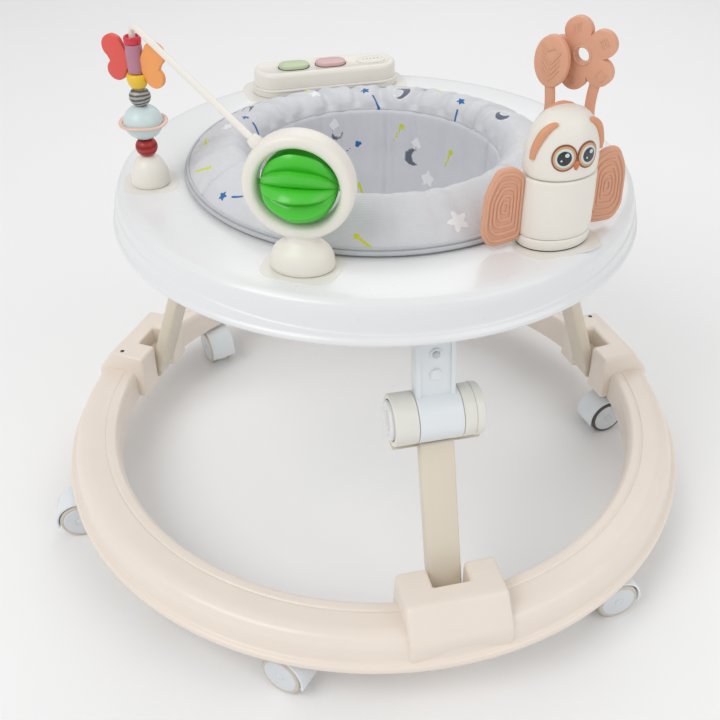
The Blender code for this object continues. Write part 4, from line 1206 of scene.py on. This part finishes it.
def bead_pieces():
    """Rod, dome, the three balls, the planet's ring, cup, butterfly and cap, from the bottom up."""
    at = pivot("bead_cup_spin")
    piece(strand(bead_rod_points(), 0.0028, sides=5), "bead_rod_wire", WARM_WHITE, "tray",
          ["bead_rod"], sharp=60.0)
    dome = [(0, 0.4094), (0.0055, 0.4088), (0.0110, 0.4055), (0.0150, 0.3992), (0.0171, 0.3915),
            (0.0178, 0.3845), (0.0174, TOY_FLOOR), (0, TOY_FLOOR)]
    piece(lathe(dome, 80, 0.006, 5), "bead_dome_shell", WARM_WHITE, "tray",
          ["bead_dome"], shift(at.x, at.y), sharp=60.0)
    z = {name: pivot(f"{name}_spin").z for name in
         ("bead_dark_red", "bead_planet", "planet_ring", "bead_grey", "bead_cup", "butterfly")}
    for name, radius, squash, finish, slot in (
        ("bead_dark_red", 0.0100, 0.93, GARNET, "dark_red_plastic"),
        ("bead_planet", 0.0176, 0.92, PALE_BLUE, "pale_blue_plastic"),
        ("bead_grey", 0.0096, 0.92, MARBLE, "grey_plastic"),
    ):
        bead(name, globe(radius, squash), finish, name, z[name])
    ring = spun(oval_section(0.0199, 0.0, 0.0021, 0.0012, 16), 96, closed=True)
    for vert in ring.verts:
        vert.co.z += 0.0007 * sin(3.0 * atan2(vert.co.y, vert.co.x))
    piece(ring, "planet_ring_band", SALMON, "planet_ring", ["planet_ring"],
          shift(at.x, at.y, z["planet_ring"]), sharp=60.0)
    cup = softened([(0, 0.0066), (0.0084, 0.0066), (0.0094, 0.0048), (0.0094, 0.0008), (0.0076, -0.0046),
                    (0.0056, -0.0066), (0, -0.0066)], 0.0024, 5)
    bead("bead_cup", cup, YELLOW, "bead_cup", z["bead_cup"])
    body = softened([(0, 0.0130), (0.0072, 0.0130), (0.0076, 0.0060), (0.0072, -0.0090), (0.0066, -0.0130),
                     (0, -0.0130)], 0.0012, 4)
    bead("butterfly_body", body, MAUVE, "butterfly", z["butterfly"])
    top = softened([(0, -0.0010), (0.0040, -0.0010), (0.0058, 0.0032), (0.0070, 0.0032), (0.0078, 0.0012),
                    (0.0074, -0.0032), (0, -0.0032)], 0.0008, 4)
    bead("bead_cap", top, RED, "tray", middle("bead_cap").z)
    for side, finish, slot in (("left", CORAL, "coral_plastic"), ("right", ORANGE, "orange_plastic")):
        wing_piece(side, finish, at)


def wing_piece(side, finish, at):
    """A flat wing of two round lobes, the upper one larger."""
    centre = middle(f"butterfly_wing_{side}")
    root = 0.0066
    upper = [radians(132 - 186 * i / 19) for i in range(20)]
    lower = [radians(54 - 192 * i / 17) for i in range(18)]
    outline = [(root, -0.0062), (root, 0.0062)]
    outline += [(0.0203 + 0.0107 * cos(a), 0.0105 + 0.0107 * sin(a)) for a in upper]
    outline += [(0.0189 + 0.0093 * cos(a), -0.0105 + 0.0093 * sin(a)) for a in lower]
    wing = slab(softened(outline, 0.0012, 2, closed=True), -0.0026, 0.0026, 0.0014, 4)
    turned_mesh(wing, UPRIGHT)
    low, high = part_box(f"butterfly_wing_{side}")
    level = (low.z + high.z) / 2 - 0.0007
    place = shift(at.x, at.y, level) @ heading_of(centre - at)
    piece(wing, f"butterfly_wing_{side}_lobe", finish, "butterfly", [f"butterfly_wing_{side}"], place,
          sharp=60.0)


# ---------------------------------------------------------------- owl toy
OWL_FACE = -2.0                   # the face's azimuth, from the owl's broad front
OWL_OVAL = Matrix.Diagonal((0.83, 1.11, 1.0, 1.0))
HEAD_LINE = [(0.4443, 0.0290), (0.4550, 0.0296), (0.4690, 0.0284), (0.4830, 0.0250), (0.4910, 0.0204),
             (0.4962, 0.0145), (0.4985, 0.0070), (0.4990, 0.0)]


def head_radius(height):
    heights, radii = zip(*HEAD_LINE)
    return float(np.interp(height, heights, radii))


def wrapped(bm, azimuth, height):
    """Bend a flat shape (X across, Y up, Z out) round the owl's head at a place on it."""
    for vert in bm.verts:
        level = height + vert.co.y
        radius = head_radius(level) + vert.co.z
        turn = radians(azimuth) + vert.co.x / max(head_radius(level), 0.012)
        vert.co = OWL_OVAL @ Vector((radius * cos(turn), radius * sin(turn), level))
    return bm


def eye(azimuth, height):
    """Round eye in rings: brown rim, gold, pale and black pupil, with two pale dots as painted highlights.
    """
    parts = []
    rings = ((0.0098, 0.0008, 0), (0.0089, 0.0010, 1), (0.0073, 0.0012, 2), (0.0056, 0.0014, 3))
    for radius, thick, index in rings:
        disc = spun([(0, thick), (radius * 0.55, thick), (radius * 0.92, thick), (radius, thick * 0.6),
                     (radius, -0.0010), (0, -0.0010)], 48)
        turned_mesh(disc, Matrix.Diagonal((1.0, 1.12, 1.0, 1.0)))
        parts.append((wrapped(disc, azimuth, height), index))
    # two pale dots on the pupil: painted highlights
    for size, across, up in ((0.0017, 0.0018, 0.0026), (0.0008, -0.0020, -0.0018)):
        glint = spun([(0, 0.0017), (size * 0.9, 0.0017), (size, 0.0013), (0, 0.0013)], 24)
        turned_mesh(glint, shift(across, up))
        parts.append((wrapped(glint, azimuth, height), 2))
    return parts


def owl_pieces():
    """Foot, body, turning head with its face, wings and teethers, all on one oval."""
    at = pivot("owl_head_turn")
    place = shift(at.x, at.y) @ OWL_TURN
    base = [(0, 0.3915), (0.0296, 0.3915), (0.0303, 0.3900), (0.0303, 0.3860), (0.0292, 0.3822),
            (0.0276, TOY_FLOOR), (0, TOY_FLOOR)]
    # a thin dark disc under the foot, a little wider than it: painted contact shade on the tray
    gap = [(0, TOY_FLOOR + 0.0010), (0.0288, TOY_FLOOR + 0.0010), (0.0288, TOY_FLOOR + 0.0003),
           (0, TOY_FLOOR)]
    foot = merged(lathe(base, 96, 0.0016, along=OWL_OVAL), (turned_mesh(spun(gap, 96), OWL_OVAL), 1))
    piece(foot, "owl_base_shell", [WARM_WHITE, SHADOW], "tray", ["owl_base"], place)
    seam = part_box("owl_body")[1].z
    body = [(0, seam), (0.0293, seam), (0.0300, seam - 0.0013), (0.0305, 0.4200), (0.0303, 0.3960),
            (0.0297, 0.3920), (0, 0.3920)]
    piece(lathe(body, 112, 0.0009, along=OWL_OVAL), "owl_body_shell", WARM_WHITE, "tray",
          ["owl_body"], place)
    head = [(radius, height) for height, radius in reversed(HEAD_LINE)] + [(0, HEAD_LINE[0][0])]
    parts = [lathe(head, 128, 0.0040, 5, along=OWL_OVAL)]
    for turn in (-19.5, 19.5):
        parts += [(bm, index + 1) for bm, index in eye(OWL_FACE + turn, 0.4655)]
    nose = bmesh.new()
    bmesh.ops.create_uvsphere(nose, u_segments=20, v_segments=12, radius=1.0)
    bmesh.ops.scale(nose, vec=(0.0024, 0.0042, 0.0018), verts=nose.verts)
    for vert in nose.verts:
        vert.co.x *= 1.0 + 110.0 * vert.co.y
    parts.append((wrapped(nose, OWL_FACE, 0.4585), 5))
    parts += [(brow(side), 6) for side in (-1.0, 1.0)]
    parts.append((crown_band(), 6))
    piece(merged(*parts), "owl_head_shell",
          [WARM_WHITE, EYE_RIM, EYE_GOLD, EYE_PALE, EYE_BLACK, BEAK, PEACH_EAR], "owl_head",
          ["owl_head"], place)
    for side in ("left", "right"):
        owl_wing_piece(side, at)
    flower_piece()
    leaf_piece()


def brow(side):
    """A raised tuft down one side of the face, thickest in its middle."""
    path, widths = [], []
    for i in range(14):
        t = i / 13
        height = 0.4620 + 0.0285 * sin(t * pi / 2)
        turn = radians(OWL_FACE + side * (72.0 - 34.0 * t**1.8))
        reach = head_radius(height) + 0.0004
        path.append(OWL_OVAL @ Vector((reach * cos(turn), reach * sin(turn), height)))
        widths.append(0.70 + 1.00 * sin(pi * min(t * 0.9 + 0.1, 1.0)) ** 0.8)
    return strand(path, 0.0022, sides=5, widths=widths)


def crown_band():
    """The teether's band, sunk where it crosses the top of the head."""
    path = []
    for i in range(19):
        turn = radians(-62.0 + 124.0 * i / 18)
        height = 0.4985 - 0.0135 * (1.0 - cos(turn)) * 1.35
        reach = head_radius(min(height, 0.4989)) * (1 if turn > 0 else -1)
        path.append((-0.0080, reach * 1.02 * abs(sin(turn)) ** 0.5 * 0.9, height - 0.0002))
    return strand(path, 0.0019, sides=4)


def owl_wing_piece(side, at):
    """D-shaped paddle with nested ridges on both faces."""
    centre = middle(f"owl_wing_{side}")
    low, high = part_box(f"owl_wing_{side}")
    near, far = 0.0330, 0.0696
    outline = [(near, low.z + 0.0030), (near, high.z - 0.0090), (near + 0.010, high.z - 0.0015),
               (far - 0.012, high.z - 0.0010), (far - 0.0010, high.z - 0.022), (far, low.z + 0.012),
               (far - 0.008, low.z), (near + 0.010, low.z + 0.0010)]
    outline = softened(outline, 0.0110, 6, closed=True)
    wing = slab(outline, -0.0025, 0.0025, 0.0014, 3)
    core = Vector((near + 0.0170, (low.z + high.z) / 2))
    ridges = []
    for inward in (0.14, 0.32, 0.50, 0.68, 0.86):
        ring = [(core + (Vector(point) - core) * (1.0 - inward)).to_3d() for point in outline]
        ridges.append(strand(ring, 0.0015, closed=True, sides=2))
    paddle = merged(wing, *two_faced(ridges, 0.0022))
    turned_mesh(paddle, UPRIGHT)
    place = shift(at.x, at.y) @ heading_of(centre - at)
    piece(paddle, f"owl_wing_{side}_paddle", PEACH, "tray", [f"owl_wing_{side}"], place,
          sharp=60.0)


def rib(start, end):
    """A short raised line on a teether's face."""
    return strand([(*start, 0.0), (*end, 0.0)], 0.0008, sides=2)


PADDLE_TURN = Matrix.Rotation(radians(144.0), 4, "Z")     # both teethers' flat sides stand this way


def petal_marks():
    """A raised pattern for each petal, drawn along +X and turned to the petal."""
    lines = [rib((0.0185 + 0.0008 * k, 0.0030 * k - 0.0008), (0.0250 + 0.0008 * k, 0.0030 * k + 0.0008))
             for k in (-1, 0, 1)]
    dots = []
    for i in range(9):
        dot = bmesh.new()
        bmesh.ops.create_uvsphere(dot, u_segments=8, v_segments=6, radius=0.0009)
        dots.append(turned_mesh(dot, shift(0.0195 + 0.0026 * (i // 3), 0.0026 * (i % 3 - 1))))
    corners = [(0.0190, -0.0034, 0.0), (0.0256, -0.0034, 0.0), (0.0256, 0.0034, 0.0), (0.0190, 0.0034, 0.0)]
    square = strand(corners, 0.0008, closed=True, sides=2)
    middle_x, shrink = 0.0225, 0.45
    curl = [(middle_x + 0.00075 * t * cos(t), 0.00075 * t * sin(t), 0.0) for t in np.linspace(0.6, 13.0, 70)]
    spiral = strand(curl, 0.0006, sides=2)
    for vert in spiral.verts:
        vert.co.x = middle_x + (vert.co.x - middle_x) * shrink
        vert.co.y *= shrink
    zigzag = [rib((0.0180 + 0.0032 * k, side * 0.0034), (0.0205 + 0.0032 * k, 0.0))
              for side in (-1, 1) for k in range(3)]
    patterns = ((72.0, lines), (144.0, dots), (216.0, [square]), (288.0, [spiral]), (0.0, zigzag))
    return [turned_mesh(mark, Matrix.Rotation(radians(angle), 4, "Z")) for angle, marks in patterns
            for mark in marks]


def flower_piece():
    """Five petals round a hole with a raised rim, each petal patterned, on a bowed strap."""
    low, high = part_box("teether_flower")
    centre_z = high.z - 0.0290
    outline = []
    for i in range(160):
        angle = 2 * pi * i / 160
        radius = 0.0172 + 0.0132 * abs(cos(2.5 * angle)) ** 0.62
        outline.append((radius * cos(angle), radius * sin(angle)))
    plate = slab(softened(outline, 0.001, 2, closed=True), -0.0034, 0.0034, 0.0014, 3)
    cutter = loose_object(bore(0.0062, 0.02, 48), "petal_bore")
    obj = bored(loose_object(plate, "petals"), [cutter])
    petals = bmesh.new()
    petals.from_mesh(obj.data)
    bpy.data.objects.remove(obj, do_unlink=True)
    ring = oval_section(0.0073, 0.0, 0.0012, 0.0009, 12)
    marks = [spun(ring, 48, closed=True), *petal_marks()]
    paddle = merged(petals, *two_faced(marks, 0.0033))
    turned_mesh(paddle, UPRIGHT)
    strap = bowed_strap(low.z - centre_z, -0.0150, 0.0030)
    turned_mesh(strap, shift(-0.0140))
    centre = middle("teether_flower")
    place = shift(centre.x, centre.y, centre_z) @ PADDLE_TURN @ shift(-0.0029)
    piece(merged(paddle, strap), "teether_flower_paddle", PEACH, "owl_head",
          ["teether_flower"], place, sharp=50.0)


def two_faced(marks, height):
    """Lay marks on the plate's front, and mirrored copies on its back."""
    front = turned_mesh(merged(*marks), shift(z=height))
    back = front.copy()
    turned_mesh(back, Matrix.Diagonal((1, 1, -1, 1)))
    bmesh.ops.reverse_faces(back, faces=back.faces)
    return [front, back]


def bowed_strap(low, high, bow):
    """A flat-sided strap that bows sideways on its way up."""
    path = [(bow * sin(pi * i / 16), 0.0, low + (high - low) * i / 16) for i in range(17)]
    strap = strand(path, 0.0030, sides=4)
    for vert in strap.verts:
        level = min(max((vert.co.z - low) / (high - low), 0.0), 1.0)
        centre = bow * sin(pi * level)
        vert.co.x = centre + (vert.co.x - centre) * 1.55
        vert.co.y *= 0.90
    return strap


def leaf_piece():
    """Oval paddle with veins and nested chevrons on a bowed strap."""
    low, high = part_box("teether_leaf")
    centre_z = high.z - 0.0215
    blade = slab(ellipse(0.0149, 0.0213, 64), -0.0034, 0.0034, 0.0014, 3)
    marks = []
    for k in range(4):
        tip = -0.0150 + 0.0045 * k
        marks += [rib((-0.0078, tip + 0.0095), (0.0, tip)), rib((0.0, tip), (0.0078, tip + 0.0095))]
    marks += [rib((-0.0085, 0.0085), (-0.0020, 0.0130)), rib((0.0020, 0.0085), (0.0085, 0.0130)),
              rib((-0.0030, 0.0115), (0.0040, 0.0085))]
    paddle = merged(blade, *two_faced(marks, 0.0033))
    turned_mesh(paddle, UPRIGHT)
    strap = bowed_strap(low.z - centre_z, -0.0185, -0.0020)
    centre = middle("teether_leaf")
    piece(merged(paddle, strap), "teether_leaf_paddle", PEACH, "owl_head",
          ["teether_leaf"], shift(centre.x, centre.y, centre_z) @ PADDLE_TURN, sharp=50.0)


# ---------------------------------------------------------------- studio
def studio():
    """Pale paper floor, even world light and three soft lamps."""
    floor_mesh = bmesh.new()
    bmesh.ops.create_grid(floor_mesh, x_segments=1, y_segments=1, size=6.0)
    floor = loose_object(floor_mesh, "studio_floor")
    made, nodes, links, shader = new_material("studio_paper")
    grain = added(nodes, "ShaderNodeTexNoise", Scale=40.0)
    mixed = colour_mix(nodes, links, grain.outputs["Fac"], linear((246, 246, 246)), linear((249, 249, 249)))
    links.new(mixed, shader.inputs["Base Color"])
    set_inputs(shader, Roughness=0.75)
    floor.data.materials.append(made)
    world = bpy.data.worlds.new("studio")
    bpy.context.scene.world = world
    world.use_nodes = True
    set_inputs(world.node_tree.nodes["Background"], Color=(1.0, 1.0, 1.0, 1.0), Strength=0.62)
    aim = Vector((0, 0, 0.2))
    for name, place, size, power in (
        ("key", (-1.3, -1.2, 2.1), 1.4, 21.0),
        ("fill", (1.6, -1.0, 1.5), 1.6, 8.0),
        ("back", (0.3, 1.8, 2.0), 1.8, 11.0),
    ):
        lamp = bpy.data.lights.new(name, "AREA")
        lamp.size = size
        lamp.energy = power
        obj = bpy.data.objects.new(name, lamp)
        bpy.context.scene.collection.objects.link(obj)
        obj.location = place
        obj.rotation_euler = (aim - Vector(place)).to_track_quat("-Z", "Y").to_euler()
    bpy.context.scene.view_settings.view_transform = "Standard"


def camera():
    """A camera above the front, looking down at the tray, with a small roll and shift."""
    data = bpy.data.cameras.new("view")
    data.sensor_width = 36.0
    data.lens = 49.16
    data.shift_x = -0.0203
    data.shift_y = -0.0614
    obj = bpy.data.objects.new("view", data)
    bpy.context.scene.collection.objects.link(obj)
    forward = Vector((0.0, 0.82685, -0.56242))
    right, up = Vector((1.0, 0.0, 0.0)), Vector((0.0, 0.56242, 0.82685))
    roll = radians(0.418)
    right, up = right * cos(roll) + up * sin(roll), up * cos(roll) - right * sin(roll)
    turn = Matrix((right, up, -forward)).transposed().to_4x4()
    obj.matrix_world = Matrix.Translation((0.0, -0.87536, 0.79541)) @ turn
    bpy.context.scene.camera = obj


# ---------------------------------------------------------------- assembly
base_ring_piece()
for one_leg in LEGS:
    lower_arm_piece(one_leg)
    upper_arm_piece(one_leg)
    knee_button_piece(one_leg)
    repaint(STEEL, f"base_pin_{one_leg}")
    repaint(COOL_WHITE, f"tray_bracket_{one_leg}")
for one_tag in CASTERS:
    caster_piece(one_tag)
tray_piece()
repaint(WARM_WHITE, "seat_hoop")
seat_collar_piece()
seat_sling_piece()
piping_piece()
music_box_pieces()
windmill_pieces()
bead_pieces()
owl_pieces()
studio()
camera()
